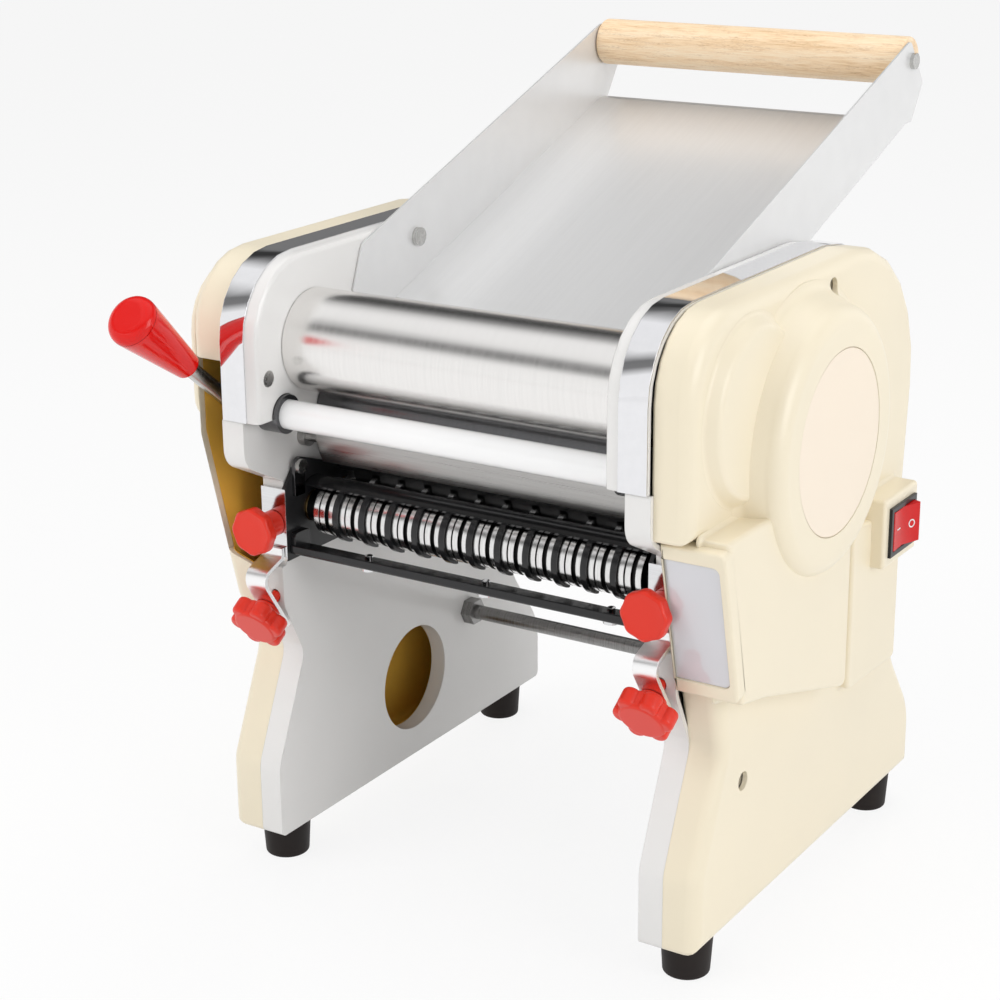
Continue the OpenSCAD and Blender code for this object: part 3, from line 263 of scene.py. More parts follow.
class Finish:
    """One material: a Principled shader, its plain values, and what varies over the surface."""

    def __init__(self, name, **plain):
        """New material with plain values for the shader's own sockets."""
        self.material = bpy.data.materials.new(name)
        self.material.use_nodes = True
        self.tree = self.material.node_tree
        self.shader = self.tree.nodes["Principled BSDF"]
        self.place = self.tree.nodes.new("ShaderNodeTexCoord").outputs["Object"]
        for name_, value in plain.items():
            self.shader.inputs[PLAIN[name_]].default_value = value

    def link(self, a, b):
        """Links an output to an input."""
        self.tree.links.new(a, b)

    def tone(self, size):
        """Tone and Specks of the shared surface tone at a size in features per metre."""
        node = self.tree.nodes.new("ShaderNodeGroup")
        node.node_tree = TONE
        self.link(self.place, node.inputs["Vector"])
        node.inputs["Size"].default_value = size
        return node.outputs["Tone"], node.outputs["Specks"]

    def lines(self, stretch, coarse):
        """Lines and Height of the shared tool lines."""
        node = self.tree.nodes.new("ShaderNodeGroup")
        node.node_tree = LINES
        self.link(self.place, node.inputs["Vector"])
        node.inputs["Stretch"].default_value = stretch
        node.inputs["Coarse"].default_value = coarse
        return node.outputs["Lines"], node.outputs["Height"]

    def ramp(self, factor, stops):
        """Colour ramp over a factor, from (position, colour) stops."""
        node = self.tree.nodes.new("ShaderNodeValToRGB")
        elements = node.color_ramp.elements
        while len(elements) < len(stops):
            elements.new(0.5)
        for element, (at, colour) in zip(elements, stops):
            element.position = at
            element.color = (*colour, 1)
        self.link(factor, node.inputs["Fac"])
        return node.outputs["Color"]

    def between(self, factor, low, high, start=0.3, end=0.7):
        """Number that goes from low to high as the factor goes from start to end."""
        node = self.tree.nodes.new("ShaderNodeMapRange")
        for label, value in (("From Min", start), ("From Max", end), ("To Min", low), ("To Max", high)):
            node.inputs[label].default_value = value
        self.link(factor, node.inputs["Value"])
        return node.outputs["Result"]

    def colour(self, socket):
        """Base colour from a socket."""
        self.link(socket, self.shader.inputs["Base Color"])

    def roughness(self, socket):
        """Roughness from a socket."""
        self.link(socket, self.shader.inputs["Roughness"])

    def relief(self, height, strength, depth, round_edges):
        """Bump from a height, over edges rounded by a radius in metres."""
        bump = self.tree.nodes.new("ShaderNodeBump")
        bump.inputs["Strength"].default_value = strength
        bump.inputs["Distance"].default_value = depth
        self.link(height, bump.inputs["Height"])
        edge = self.tree.nodes.new("ShaderNodeBevel")
        edge.samples = 4
        edge.inputs["Radius"].default_value = round_edges
        self.link(edge.outputs["Normal"], bump.inputs["Normal"])
        self.link(bump.outputs["Normal"], self.shader.inputs["Normal"])


def shades(colour, spread):
    """Two colours, a little darker and a little lighter than the given one."""
    dark = tuple(max(0.0, c * (1 - spread)) for c in colour)
    light = tuple(min(1.0, c * (1 + spread)) for c in colour)
    return dark, light


def moulded_plastic(name, colour, rough, spread=0.03, edge=0.0006, grain=0.00003, **plain):
    """Moulded or lacquered plastic: slow drift of tone, faint orange peel, soft edges."""
    finish = Finish(name, **plain)
    tone, specks = finish.tone(9.0)
    dark, light = shades(colour, spread)
    finish.colour(finish.ramp(tone, [(0.3, dark), (0.7, light)]))
    finish.roughness(finish.between(tone, rough * 0.88, rough * 1.12))
    finish.relief(specks, 0.25, grain, edge)
    return finish.material


def worked_metal(name, colour, rough, stretch, coarse=6.0, spread=0.12, depth=0.00002, edge=0.0003, **plain):
    """Turned, rolled or brushed metal: lines along the working direction in tone, gloss and relief."""
    finish = Finish(name, metallic=1.0, **plain)
    line, height = finish.lines(stretch, coarse)
    dark, light = shades(colour, spread)
    finish.colour(finish.ramp(line, [(0.35, dark), (0.65, light)]))
    finish.roughness(finish.between(line, rough * 0.8, rough * 1.2))
    finish.relief(height, 0.3, depth, edge)
    return finish.material


def satin_sheet(name, colour, rough):
    """Satin sheet steel: half mirror, half diffuse, with faint rolling lines up the slope."""
    finish = Finish(name, metallic=0.4, specular=0.5)
    line, height = finish.lines((200.0, 4.0, 4.0), 2.0)
    dark, light = shades(colour, 0.02)
    finish.colour(finish.ramp(line, [(0.35, dark), (0.65, light)]))
    finish.roughness(finish.between(line, rough * 0.92, rough * 1.08))
    finish.relief(height, 0.08, 0.00001, 0.0002)
    return finish.material


def beech(name, axis_x_stretch):
    """Turned beech: long grain along X from stretched noise, short dark flecks, satin oil."""
    finish = Finish(name, specular=0.35)
    grain, _ = finish.lines((axis_x_stretch, 60.0, 60.0), 3.2)
    fleck, fleck_height = finish.lines((axis_x_stretch * 9, 420.0, 420.0), 1.6)
    wood = finish.ramp(grain, [
        (0.3, (0.76, 0.51, 0.28)), (0.47, (0.92, 0.69, 0.45)), (0.62, (0.97, 0.79, 0.57))])
    mix = finish.tree.nodes.new("ShaderNodeMix")
    mix.data_type = "RGBA"
    mix.blend_type = "MULTIPLY"
    mix.inputs[0].default_value = 0.5
    finish.link(wood, mix.inputs[6])
    finish.link(finish.ramp(fleck, [(0.36, (0.55, 0.42, 0.32)), (0.46, (1, 1, 1))]), mix.inputs[7])
    finish.colour(mix.outputs[2])
    finish.roughness(finish.between(grain, 0.5, 0.36))
    finish.relief(fleck_height, 0.2, 0.00004, 0.0008)
    return finish.material


AROUND_X = (260.0, 6.0, 6.0)
ALONG_X = (3.0, 160.0, 160.0)
ALONG_Y = (160.0, 3.0, 160.0)
NO_LINES = (60.0, 60.0, 60.0)

SHELL = moulded_plastic("white_shell", (0.80, 0.79, 0.775), 0.24, coat=0.25, coat_roughness=0.15)
CREAM = moulded_plastic("cream_cover", (0.86, 0.775, 0.60), 0.34, spread=0.02, coat=0.12, coat_roughness=0.3)
# brown inside of the left cover, its colour raised to bright orange as painted light that stands for light shining
# through the moulding
LINING_WITH_PAINTED_LIGHT = moulded_plastic("cover_inside_painted_light", (1.0, 0.56, 0.08), 0.45, spread=0.08)
DISC = moulded_plastic("pale_disc", (0.90, 0.79, 0.655), 0.42, spread=0.015)
PANEL = moulded_plastic("grey_panel", (0.66, 0.66, 0.69), 0.12, coat=1.0, coat_roughness=0.04)
KNOB_RED = moulded_plastic("knob_red", (0.76, 0.03, 0.012), 0.34, spread=0.06, edge=0.0009, coat=0.12,
                           specular=0.35)
GRIP_RED = moulded_plastic("grip_red", (0.70, 0.006, 0.004), 0.16, spread=0.05, edge=0.001, coat=0.2,
                           coat_roughness=0.05, specular=0.25)
ROCKER_RED = moulded_plastic("rocker_red", (0.62, 0.004, 0.004), 0.14, spread=0.05, coat=0.1,
                             coat_roughness=0.04, specular=0.22)
TUBE_WHITE = moulded_plastic("white_tube", (0.94, 0.94, 0.94), 0.16, spread=0.015, coat=0.6, coat_roughness=0.06)
BLACK = moulded_plastic("black_plastic", (0.018, 0.018, 0.019), 0.3, spread=0.25, coat=0.08, specular=0.3)
COMB_BLACK = moulded_plastic("comb_black", (0.013, 0.013, 0.014), 0.24, spread=0.3, edge=0.0003, coat=0.25,
                             coat_roughness=0.12, specular=0.3)
RUBBER = moulded_plastic("rubber", (0.016, 0.012, 0.011), 0.55, spread=0.2, grain=0.00012, specular=0.2)
ROLLER = worked_metal("ground_roller", (0.86, 0.845, 0.83), 0.22, AROUND_X, coarse=5.0, spread=0.03, depth=0.000004,
                      edge=0.001)
CUTTER = worked_metal("bright_cutter", (0.78, 0.775, 0.77), 0.2, AROUND_X, coarse=9.0, spread=0.12)
CHROME = worked_metal("chrome", (0.82, 0.82, 0.84), 0.04, NO_LINES, coarse=0.4, spread=0.02, depth=0.000004,
                      edge=0.0005)
POLISHED = worked_metal("polished_sheet", (0.74, 0.74, 0.75), 0.1, ALONG_X, coarse=2.0, spread=0.05)
ROD_STEEL = worked_metal("rod_steel", (0.26, 0.255, 0.25), 0.3, AROUND_X, coarse=7.0, spread=0.2)
# scraper steel with its base colour darkened as painted shade, standing for the deep shade between the roller and
# the tube
SHADED_SCRAPER = worked_metal("scraper_steel_painted_shade", (0.42, 0.41, 0.40), 0.3, ALONG_X, coarse=3.0, spread=0.1)
CLIP = worked_metal("clip_steel", (0.97, 0.97, 0.97), 0.34, ALONG_X, coarse=3.0, spread=0.02)
# dark steel of the tube bushes and the cutter tabs, also laid on the top of the front scraper as painted shade
DARK_STEEL_AND_SHADE = worked_metal("dark_steel_and_shade", (0.14, 0.14, 0.145), 0.22, AROUND_X, coarse=6.0, spread=0.1)
# near-black steel laid on the cutter's groove floors: painted shade in the grooves, not the steel's own colour
GROOVE_SHADE = worked_metal("painted_groove_shade", (0.03, 0.03, 0.03), 0.4, AROUND_X, coarse=6.0, spread=0.2)
MARK_WHITE = moulded_plastic("white_mark", (0.92, 0.92, 0.92), 0.4, spread=0.01)
STEEL = worked_metal("turned_steel", (0.56, 0.555, 0.54), 0.26, AROUND_X, coarse=7.0, spread=0.15)
PLATE = worked_metal("steel_plate", (0.42, 0.42, 0.42), 0.4, ALONG_Y, coarse=3.0, spread=0.1)
GEAR = worked_metal("gear_steel", (0.36, 0.355, 0.35), 0.36, NO_LINES, coarse=4.0, spread=0.2)
BRONZE = worked_metal("bronze", (0.55, 0.38, 0.17), 0.3, AROUND_X, coarse=6.0, spread=0.12)
IRON = worked_metal("cast_block", (0.16, 0.16, 0.16), 0.5, NO_LINES, coarse=3.0, spread=0.25)
ALLOY = worked_metal("motor_alloy", (0.45, 0.45, 0.46), 0.38, NO_LINES, coarse=5.0, spread=0.12)


SHEET = satin_sheet("satin_sheet", (0.80, 0.80, 0.80), 0.3)
BEECH = beech("beech", 4.0)

SLOT_FINISH = {
    "white_shell": SHELL, "chrome_trim": CHROME, "steel_plate": PLATE, "steel_parts": STEEL,
    "steel_sheet": SHEET, "polished_sheet": POLISHED, "roller_steel": ROLLER, "cutter_steel": CUTTER,
    "gear_steel": GEAR, "cream_cover": CREAM, "pale_disc": DISC, "grey_panel": PANEL, "rubber": RUBBER,
    "bronze": BRONZE, "cast_block": IRON, "white_tube": TUBE_WHITE, "black_plastic": BLACK,
    "red_plastic": KNOB_RED, "red_rocker": ROCKER_RED, "handle_wood": BEECH, "motor_body": ALLOY,
}
NODE_FINISH = {
    "clamp_clips": CLIP, "front_scraper": SHADED_SCRAPER, "guard_tube_bushes": DARK_STEEL_AND_SHADE, "tie_rods": ROD_STEEL,
    "tie_rod_nuts": ROD_STEEL, "lever_grip": GRIP_RED, "front_comb": COMB_BLACK, "rear_comb": COMB_BLACK,
}

node_slot = {part["node"]: part["material_slot"] for part in frame["record"]["subparts"]}
FINISH_OF = {node: NODE_FINISH.get(node, SLOT_FINISH[node_slot[node]]) for node in NODES}
for name, node in NODES.items():
    node.data.materials.clear()
    node.data.materials.append(FINISH_OF[name])


# ---------------------------------------------------------------- shapes
MACHINE = np.array([108.8, 124.87, 0.0])  # the middle of the machine in its own axes, in mm
ARC_STEPS = 6
LEAST_RADIUS = 0.3
EDGE_STEPS = 5
ROOT_STEPS = 3
SHARP_ANGLE = math.radians(34.0)


def unit(v):
    """Vectors scaled to length 1."""
    return v / np.linalg.norm(v, axis=-1, keepdims=True)


def inset_ring(corners, d):
    """Rounded outline of (y, z, radius) corners, moved inwards by d, as points of equal count for every d.

    A corner moves by d (n0 + n1) / (1 + n0.n1), with n0 and n1 the inward normals of its two sides, its
    radius becomes r - d where it bulges and r + d where it is hollow, and its arc is centre - r slerp(n0, n1).
    """
    c = np.array(corners, float)
    p = c[:, :2]
    area = np.sum(p[:, 0] * np.roll(p[:, 1], -1) - np.roll(p[:, 0], -1) * p[:, 1])
    side = math.copysign(1.0, area)
    e0 = unit(p - np.roll(p, 1, 0))
    e1 = unit(np.roll(p, -1, 0) - p)
    n0 = side * np.stack((-e0[:, 1], e0[:, 0]), 1)
    n1 = side * np.stack((-e1[:, 1], e1[:, 0]), 1)
    bulges = np.where(side * (e0[:, 0] * e1[:, 1] - e0[:, 1] * e1[:, 0]) > 0, 1.0, -1.0)[:, None]
    dot = np.clip(np.sum(n0 * n1, 1, keepdims=True), -0.9999, 0.9999)
    reach = (n0 + n1) / (1 + dot)
    radius = np.maximum(c[:, 2:3] - bulges * d, LEAST_RADIUS)
    centre = p + d * reach + bulges * radius * reach
    theta = np.arccos(dot)[:, :, None]
    t = np.linspace(0, 1, ARC_STEPS + 1)[None, :, None]
    turn = (np.sin((1 - t) * theta) * n0[:, None] + np.sin(t * theta) * n1[:, None]) / np.sin(theta)
    return (centre[:, None] - (bulges * radius)[:, None] * turn).reshape(-1, 2)


def new_object(name, verts, faces):
    """Mesh object in metres from vertices in millimetres, its normals turned outwards."""
    mesh = bpy.data.meshes.new(name)
    mesh.from_pydata(verts, [], faces)
    mesh.update()
    obj = bpy.data.objects.new(name, mesh)
    bpy.context.scene.collection.objects.link(obj)
    work = bmesh.new()
    work.from_mesh(mesh)
    bmesh.ops.remove_doubles(work, verts=work.verts, dist=1e-6)
    bmesh.ops.recalc_face_normals(work, faces=work.faces)
    work.to_mesh(mesh)
    work.free()
    return obj


def place(yz, x):
    """Points (y, z) of the side view at x, one value or one for each, in metres in the shared frame."""
    return (np.column_stack((np.broadcast_to(x, len(yz)), yz)) - MACHINE) * MM


def quads(rings, n):
    """Faces of a tube of rings of n points: quad (k, i) joins ring k to ring k + 1 between points i and i + 1."""
    k, i = np.meshgrid(np.arange(rings - 1), np.arange(n), indexing="ij")
    j = (i + 1) % n
    return np.stack((k * n + i, k * n + j, (k + 1) * n + j, (k + 1) * n + i), -1).reshape(-1, 4).tolist()


def skin(name, rings):
    """Closed solid through rings of equal point count, with its two ends filled."""
    n = len(rings[0])
    ends = [list(range(n)), list(range((len(rings) - 1) * n, len(rings) * n))]
    return new_object(name, np.concatenate(rings), quads(len(rings), n) + ends)


def loft(name, rings):
    """Closed solid through (x, points) rings of the side view."""
    return skin(name, [place(points, x) for x, points in rings])


def revolve(name, axis, profile, around=96):
    """Closed solid of a (radius, x) profile about a line along X through (y, z): y + r cos a, z + r sin a."""
    a = np.linspace(0, 2 * math.pi, around, endpoint=False)
    ring = np.stack((np.cos(a), np.sin(a)), 1)
    return loft(name, [(x, np.array(axis) + r * ring) for r, x in profile])


def edge_profile(depth, r, out=1.0):
    """(inset, x) pairs of an edge rounded by r at x = depth: inset r (1 - cos a), x = depth - out r (1 - sin a)."""
    a = np.linspace(0, math.pi / 2, EDGE_STEPS + 1)
    return [(r * (1 - math.cos(t)), depth - out * r * (1 - math.sin(t))) for t in a]


def root_profile(base, r, out=1.0):
    """(inset, x) pairs of a hollow root of radius r that runs out onto the face at x = base."""
    a = np.linspace(0, math.pi / 2, ROOT_STEPS + 1)
    return [(-r * (1 - math.sin(t)), base + out * r * (1 - math.cos(t))) for t in a]


def raised_block(name, corners, base, depth, r, root, out=1.0):
    """Block that stands on the face at x = base with a hollow root and a rounded edge."""
    pairs = [(-root, base - out)] + root_profile(base, root, out) + edge_profile(depth, r, out)
    return loft(name, [(x, inset_ring(corners, d)) for d, x in pairs])


def cup(name, corners, rim, depth, r, wall, out=1.0, lip=None):
    """Hollow cover: outline from x = rim out to a face at x = depth, its edge rounded by r, open at the rim,
    which may carry a lip of (inset, x)."""
    inner = [(d + wall, x - out * wall) for d, x in reversed(edge_profile(depth, r, out))]
    edge = [(wall, lip[1]), lip, (lip[0], rim)] if lip else [(wall, rim)]
    pairs = inner + edge + [(0.0, rim)] + edge_profile(depth, r, out)
    return loft(name, [(x, inset_ring(corners, d)) for d, x in pairs])


def carve(piece, cutters):
    """Cuts closed solids out of a piece and deletes them."""
    for cutter in cutters:
        cut = piece.modifiers.new("cut", "BOOLEAN")
        cut.operation = "DIFFERENCE"
        cut.solver = "EXACT"
        cut.object = cutter
    bpy.context.view_layer.update()
    cut_mesh = bpy.data.meshes.new_from_object(piece.evaluated_get(bpy.context.evaluated_depsgraph_get()))
    piece.modifiers.clear()
    piece.data = cut_mesh
    for cutter in cutters:
        bpy.data.objects.remove(cutter, do_unlink=True)


def smooth(piece):
    """Smooth shading with sharp edges kept sharp and large faces kept flat."""
    piece.data.shade_smooth()
    piece.data.set_sharp_from_angle(angle=SHARP_ANGLE)
    weighted = piece.modifiers.new("weighted", "WEIGHTED_NORMAL")
    weighted.keep_sharp = True


def dress(piece, node, finish):
    """Smooth piece with a finish that rides with a node's body and stands for the node."""
    smooth(piece)
    piece.data.materials.clear()
    piece.data.materials.append(finish)
    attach(piece, BODY_OF[node])
    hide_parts(node)


def merged_copy(node, drop=None):
    """Copy of a CAD node with its facets joined, so that round faces shade round, less what drop picks."""
    mesh = NODES[node].data.copy()
    for name in ("custom_normal", "sharp_face", "sharp_edge"):
        if name in mesh.attributes:
            mesh.attributes.remove(mesh.attributes[name])
    work = bmesh.new()
    work.from_mesh(mesh)
    bmesh.ops.remove_doubles(work, verts=work.verts, dist=2e-6)
    bmesh.ops.dissolve_degenerate(work, edges=work.edges, dist=1e-6)
    if drop:
        dropped = [v for v in work.verts if drop(*(v.co / MM + Vector(MACHINE)))]
        bmesh.ops.delete(work, geom=dropped, context="VERTS")
    work.to_mesh(mesh)
    work.free()
    piece = bpy.data.objects.new(node + "_dressed", mesh)
    bpy.context.scene.collection.objects.link(piece)
    dress(piece, node, FINISH_OF[node])
    return piece


BODY_OF = {node: body for body, nodes in frame["record"]["behaviour"]["bodies"].items() for node in nodes}
OWN_SHAPE = {"left_side_cover", "motor_cover", "front_box_frame", "front_box_panel", "cutter_cross_bar",
             "upper_left_knob", "upper_right_knob"}
DROPPED = {"cutter_fixings": lambda x, y, z: y < 15.9 and 173.9 < z < 180.5}  # the rivets of the front lip
DRESSED = {node: merged_copy(node, drop=DROPPED.get(node)) for node in NODES if node not in OWN_SHAPE}


# ---------------------------------------------------------------- moulded covers
SIDE = [(249, 19.5, 3), (249, 55, 35), (217, 98, 40), (236.49, 319.5, 75), (-14, 319.5, 37)]
FOOT = [(9, 143, 15), (24, 113, 12), (0, 58, 20), (0, 19.5, 3)]
LEFT_SIDE = SIDE + [(-14, 232, 14)] + FOOT
MOTOR_SIDE = SIDE + [(-14, 222.2, 2), (-1.2, 221.9, 1), (15.9, 146.2, 1)] + FOOT[1:]
LEFT_SIDE_INSIDE = [(y + dy, z + dz, max(r - 2.5, 1)) for (y, z, r), (dy, dz) in zip(LEFT_SIDE, [
    (-2.6, 2.6), (-2.6, 0), (-2.6, 0), (-3, -2.6), (2.6, -2.6), (2.6, 1), (2.6, 0), (2.6, 0), (2.6, 0), (2.6, 2.6)])]
BULGE = [(-9, 236, 12), (205, 236, 22), (215, 288, 34), (150, 312, 30), (-9, 312, 32)]
BLOCK = [(-4.4, 224, 1), (13.09, 143.6, 2), (36, 139, 12), (126, 112, 4), (126, 200, 2), (60, 224, 2)]
SIDE_BLOCK = [(147, 100, 4), (206, 98, 4), (206, 178, 2), (147, 186, 2)]
SWITCH_BOX = [(168, 158, 2), (209, 158, 2), (209, 194, 2), (168, 194, 2)]
SCREWS = [(43.8, 91.8), (124.0, 308.0)]
SCREW_HOLE, DEEP_SCREW_HOLE = 4.6, 4.8
STUD = (94.862, 244.067)
CRESCENT = (38.5, 270.0)
LEFT_RIM, LEFT_FACE, LEFT_BULGE = -12.5, -31.9, -37.9
LEFT_WALL, LINING_WALL = 2.0, 0.4
COVER_EDGE = 7.0
BOSS_R, DISC_R = 63.2, 43.7
MOTOR_RIM, MOTOR_FACE, BOX_FACE, SWITCH_FACE, BOSS_FACE = 218.5, 236.0, 250.0, 249.0, 255.5


def drill(at, x0, x1, radius):
    """Round cutter along X from x0 to x1."""
    return revolve("drill", at, [(radius, x0), (radius, x1)], 48)


def slot_cutter(depth):
    """Way of the lever through the front of the left cover, in to a depth behind its outer skin."""
    x, z = np.array([(12.0, 163.0), (-14.0, 163.0), (depth, 169.0), (depth, 271.0), (12.0, 271.0)]).T
    return skin("slot_cutter", [place(np.column_stack((np.full(len(x), y), z)), x) for y in (-40.0, 20.0)])


def make_left_cover():
    """Left cover: rounded hollow shell, its bulged upper panel and the inside of the moulding, brown plastic painted
    a brighter orange as painted light for light shining through the thin moulding.
    """
    shell = cup("left_cover_shell", LEFT_SIDE, LEFT_RIM, LEFT_FACE, COVER_EDGE, LEFT_WALL, out=-1)
    carve(shell, [slot_cutter(LEFT_FACE + 2.0), drill(SCREWS[0], LEFT_FACE - 2, LEFT_FACE + 6, SCREW_HOLE)])
    dress(shell, "left_side_cover", CREAM)
    bulge = raised_block("left_cover_bulge", BULGE, LEFT_FACE, LEFT_BULGE, 5.0, 2.0, out=-1)
    carve(bulge, [drill(SCREWS[1], LEFT_BULGE - 2, LEFT_FACE + 4, SCREW_HOLE)])
    dress(bulge, "left_side_cover", CREAM)
    lining = cup("left_cover_lining", LEFT_SIDE_INSIDE, LEFT_RIM - 0.4, LEFT_FACE + LEFT_WALL + 0.02, 5.0,
                 LINING_WALL, out=-1)
    carve(lining, [slot_cutter(LEFT_FACE + 2.5)])
    dress(lining, "left_side_cover", LINING_WITH_PAINTED_LIGHT)


def hollow_root(at, r, end, count):
    """(radius, x) pairs of a hollow root of radius r on the motor cover's face, up to an angle end:
    at - r sin a, face + r (1 - cos a)."""
    return [(at - r * math.sin(a), MOTOR_FACE + r * (1 - math.cos(a))) for a in np.linspace(0.0, end, count)]


def round_edge(at, depth, r, start, count):
    """(radius, x) pairs of an edge rounded by r below x = depth, from an angle start to a right angle:
    at - r (1 - cos a), depth - r (1 - sin a)."""
    return [(at - r * (1 - math.cos(a)), depth - r * (1 - math.sin(a)))
            for a in np.linspace(start, math.pi / 2, count)]


def make_motor_cover():
    """Motor cover: rounded hollow shell with the gear boss, the crescent beside it, the box behind the
    front panel, the lower box and the switch box, each with a hollow root and a rounded edge."""
    shell = cup("motor_cover_shell", MOTOR_SIDE, MOTOR_RIM, MOTOR_FACE, COVER_EDGE, 2.5, lip=(1.2, 217.2))
    carve(shell, [drill(at, MOTOR_FACE - 5, MOTOR_FACE + 2, SCREW_HOLE) for at in SCREWS])
    boss = revolve("gear_boss", STUD, [(72.0, MOTOR_FACE - 1)] + hollow_root(72, 6, 1.5, 6)
                   + round_edge(BOSS_R, BOSS_FACE, 9, 0.1, 9) + [(43.9, BOSS_FACE), (DISC_R, BOSS_FACE - 1.0)], 144)
    crescent = revolve("gear_crescent", CRESCENT, [(44.0, MOTOR_FACE - 1)] + hollow_root(44, 3, 1.2, 5)
                       + round_edge(40, MOTOR_FACE + 6, 4, 0.5, 7), 144)
    box = raised_block("front_box_block", BLOCK, MOTOR_FACE, BOX_FACE, 2.5, 2.0)
    lower = raised_block("side_block", SIDE_BLOCK, MOTOR_FACE, MOTOR_FACE + 6, 2.0, 2.0)
    switch = raised_block("switch_box", SWITCH_BOX, MOTOR_FACE, SWITCH_FACE, 2.0, 2.0)
    carve(box, [drill(STUD, MOTOR_FACE, BOSS_FACE + 2, DISC_R)])
    carve(boss, [drill(SCREWS[1], MOTOR_FACE - 5, BOSS_FACE + 2, DEEP_SCREW_HOLE)])
    for piece in (shell, boss, crescent, box, lower, switch):
        dress(piece, "motor_cover", CREAM)


make_left_cover()
make_motor_cover()


# ---------------------------------------------------------------- front box, cross bar, knobs and marks
BOX_CORNER = np.array([-9.0, 220.0])
BOX_IN, BOX_DOWN = np.array([0.9746, 0.2239]), np.array([0.2239, -0.9746])
FRAME = [(218.8, 0, 0.4), (250, 0, 3), (250, 75.93, 3), (218.8, 75.93, 0.4)]
OPENING = [(219.4, 7, 0.3), (246.5, 7, 3.2), (246.5, 68.93, 3.2), (219.4, 68.93, 0.3)]
BOX_DEPTH = 7.5
BAR_ANGLE = [(12.2, 169.2, 1.5), (27, 169.2, 0.2), (27, 170.8, 0.2), (13.8, 170.8, 0.6), (13.8, 173.8, 0.3),
             (12.2, 173.8, 0.3)]
BAR_ENDS = (2.8, 203.2)
BAR_TAB = [(13, 170, 0.3), (25, 170, 0.3), (25, 180, 2), (13, 180, 2)]
TAB_PLACES = (2.5, 200.5)
TAB_THICK = 3
KNOB_HEIGHT = 185
KNOB_POINTS = 144


def box_ring(corners, d, w):
    """Outline in the plane of the front box, x across and v down its face, at a depth w behind it:
    (x, corner + v down + w in)."""
    uv = inset_ring(corners, d)
    return place(BOX_CORNER + uv[:, 1:2] * BOX_DOWN + w * BOX_IN, uv[:, 0])


def make_front_box():
    """Frame with rounded corners round a glossy panel that lies a little back in it."""
    outside = [(0.0, BOX_DEPTH)] + edge_profile(0.0, 1.4, -1.0)
    frame_rings = [box_ring(FRAME, d, w) for d, w in outside]
    inside = ((-0.5, 0.0), (-0.15, 0.15), (0.0, 0.5), (0.0, 3.0))
    frame_rings += [box_ring(OPENING, d, w) for d, w in inside]
    dress(skin("front_box_surround", frame_rings), "front_box_frame", CREAM)
    panel_rings = [box_ring(OPENING, d, w) for d, w in ((0.1, 2.9), (0.1, 1.4), (0.2, 1.1), (0.5, 1.0))]
    dress(skin("front_box_glossy_panel", panel_rings), "front_box_panel", PANEL)


def make_cross_bar():
    """Low angle under the cutter, with a tab at each end."""
    bar = loft("cross_bar_angle", [(x, inset_ring(BAR_ANGLE, 0)) for x in BAR_ENDS])
    tabs = [loft("cross_bar_tab", [(x, inset_ring(BAR_TAB, 0)) for x in (x0, x0 + TAB_THICK)]) for x0 in TAB_PLACES]
    for piece in [bar] + tabs:
        dress(piece, "cutter_cross_bar", COMB_BLACK)


def make_upper_knob(node, x):
    """Round knob with eight shallow lobes, its collar and its screw: r = R (1 + k (cos 8 a - 1))."""
    a = np.linspace(0, 2 * math.pi, KNOB_POINTS, endpoint=False)
    profile = [
        (6.0, -8.3, 0.0), (9.4, -8.4, 0.01), (10.4, -8.7, 0.02), (11.2, -8.45, 0.025), (11.8, -7.8, 0.03),
        (12.0, -7.0, 0.03), (12.0, -4.2, 0.03), (11.8, -3.2, 0.03), (11.0, -2.6, 0.025), (6.5, -2.5, 0.0),
        (6.5, 9.4, 0.0), (6.2, 9.7, 0.0), (2.5, 9.7, 0.0), (2.5, 15.5, 0.0)]
    made = []
    for r, y, k in profile:
        radius = r * (1 + k * (np.cos(8 * a) - 1))
        yz = np.column_stack((np.full(KNOB_POINTS, y), KNOB_HEIGHT + radius * np.sin(a)))
        made.append(place(yz, x + radius * np.cos(a)))
    dress(skin(node + "_moulding", made), node, KNOB_RED)


ROCKER_AT = np.array([248.0, 188.5, 176.0])
ROCKER_TILT = math.radians(9)
MARK_UNDER, MARK_PROUD = -0.15, 0.1
MARK_POINTS = 40


def on_rocker(side, across, up, lift):
    """Point on a sloping half of the rocker: half way out at side 6 mm, its face x = 2.4 + 0.2 |y|, then turned
    with the rocker about Z."""
    y = side * (6.0 + across)
    x = 2.4 + 0.2 * np.abs(y) + lift
    turn = np.column_stack((x * math.cos(ROCKER_TILT) + y * math.sin(ROCKER_TILT),
                            y * math.cos(ROCKER_TILT) - x * math.sin(ROCKER_TILT), up))
    return (turn + ROCKER_AT - MACHINE) * MM


def make_rocker_marks():
    """The usual line and circle of a mains rocker, 0.1 mm proud of it."""
    a = np.linspace(0, 2 * math.pi, MARK_POINTS, endpoint=False)
    loop = [(2.2, MARK_UNDER), (2.2, MARK_PROUD), (1.55, MARK_PROUD), (1.55, MARK_UNDER)]
    ring = np.concatenate([on_rocker(1.0, r * np.cos(a), r * np.sin(a), lift) for r, lift in loop])
    closed = [[i % len(ring) for i in face] for face in quads(len(loop) + 1, MARK_POINTS)]
    circle = new_object("switch_off_mark", ring, closed)
    across, up = np.array([(-2.0, -0.33), (2.0, -0.33), (2.0, 0.33), (-2.0, 0.33)]).T
    line = skin("switch_on_mark", [on_rocker(-1.0, across, up, lift) for lift in (MARK_UNDER, MARK_PROUD)])
    for mark in (circle, line):
        dress(mark, "switch_rocker", MARK_WHITE)


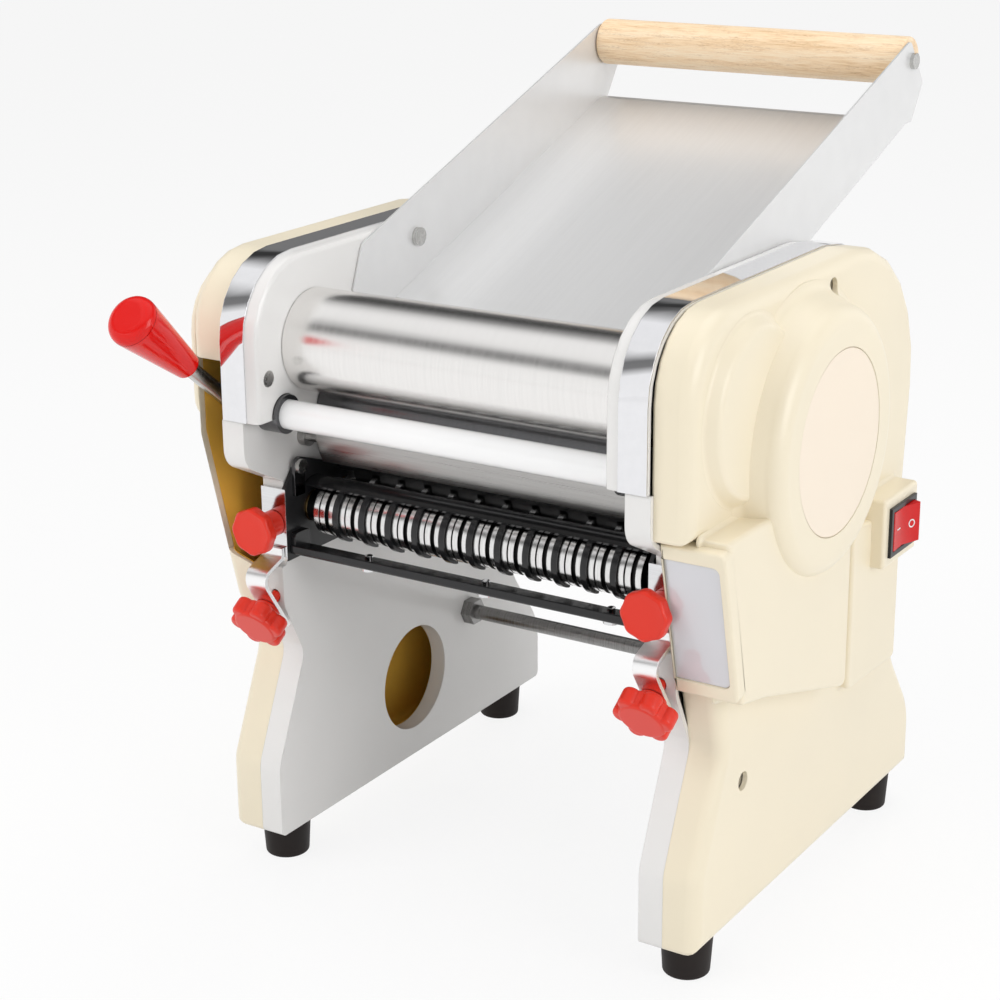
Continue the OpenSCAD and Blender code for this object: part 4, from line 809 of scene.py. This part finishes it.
def refinish(node, finish, picks):
    """Second finish on the faces of a dressed node that picks(x, y, z) chooses by their centres, in machine mm."""
    mesh = DRESSED[node].data
    centre = np.empty(len(mesh.polygons) * 3)
    mesh.polygons.foreach_get("center", centre)
    x, y, z = (centre.reshape(-1, 3) / MM + MACHINE).T
    index = np.empty(len(mesh.polygons), np.int32)
    mesh.polygons.foreach_get("material_index", index)
    mesh.materials.append(finish)
    index[picks(x, y, z)] = len(mesh.materials) - 1
    mesh.polygons.foreach_set("material_index", index)


def move_bar_bolts():
    """Moves the bolts in the dressed copy of the fixings along the cross bar."""
    bolts = DRESSED["cutter_fixings"].data.vertices
    spots = np.empty(len(bolts) * 3)
    bolts.foreach_get("co", spots)
    spots = spots.reshape(-1, 3)
    shift = np.interp(spots[:, 0] / MM + MACHINE[0], BOLTS_AT, BOLT_SHIFTS) * MM
    spots[:, 0] += np.where(spots[:, 2] < BOLTS_BELOW * MM, shift, 0)
    bolts.foreach_set("co", spots.ravel())


CUTTER_AXIS = (33.0275, 188.995)
RING_FLOOR = 12.75
MIDDLE, TAB_OUT = 103, 99.65
BOLTS_BELOW = 180
BOLTS_AT, BOLT_SHIFTS = (26, 95, 168), (18.5, 16.8, 11.3)

make_front_box()
make_cross_bar()
make_upper_knob("upper_left_knob", -5.0)
make_upper_knob("upper_right_knob", 211.0)
make_rocker_marks()
# groove floors between the cutter rings painted near black as painted shade in the grooves
refinish("front_cutter_roller", GROOVE_SHADE, lambda x, y, z:
         (np.hypot(y - CUTTER_AXIS[0], z - CUTTER_AXIS[1]) < RING_FLOOR) & (x > 5) & (x < 201))
# outer flanges of the cutter's side plates
refinish("cutter_side_plates", POLISHED, lambda x, y, z: (y < 12.1) & ((x < 1) | (x > 205)))
# tabs at the ends of the cutter, then the bolts of its cross bar
refinish("cutter_fixings", DARK_STEEL_AND_SHADE, lambda x, y, z: (z > 197.5) & (np.abs(np.abs(x - MIDDLE) - TAB_OUT) < 0.95))
refinish("cutter_fixings", POLISHED, lambda x, y, z: z < BOLTS_BELOW)
move_bar_bolts()
# guide plate above the tube, painted dark as painted shade between the roller and the tube
refinish("front_scraper", DARK_STEEL_AND_SHADE, lambda x, y, z: z > 237)
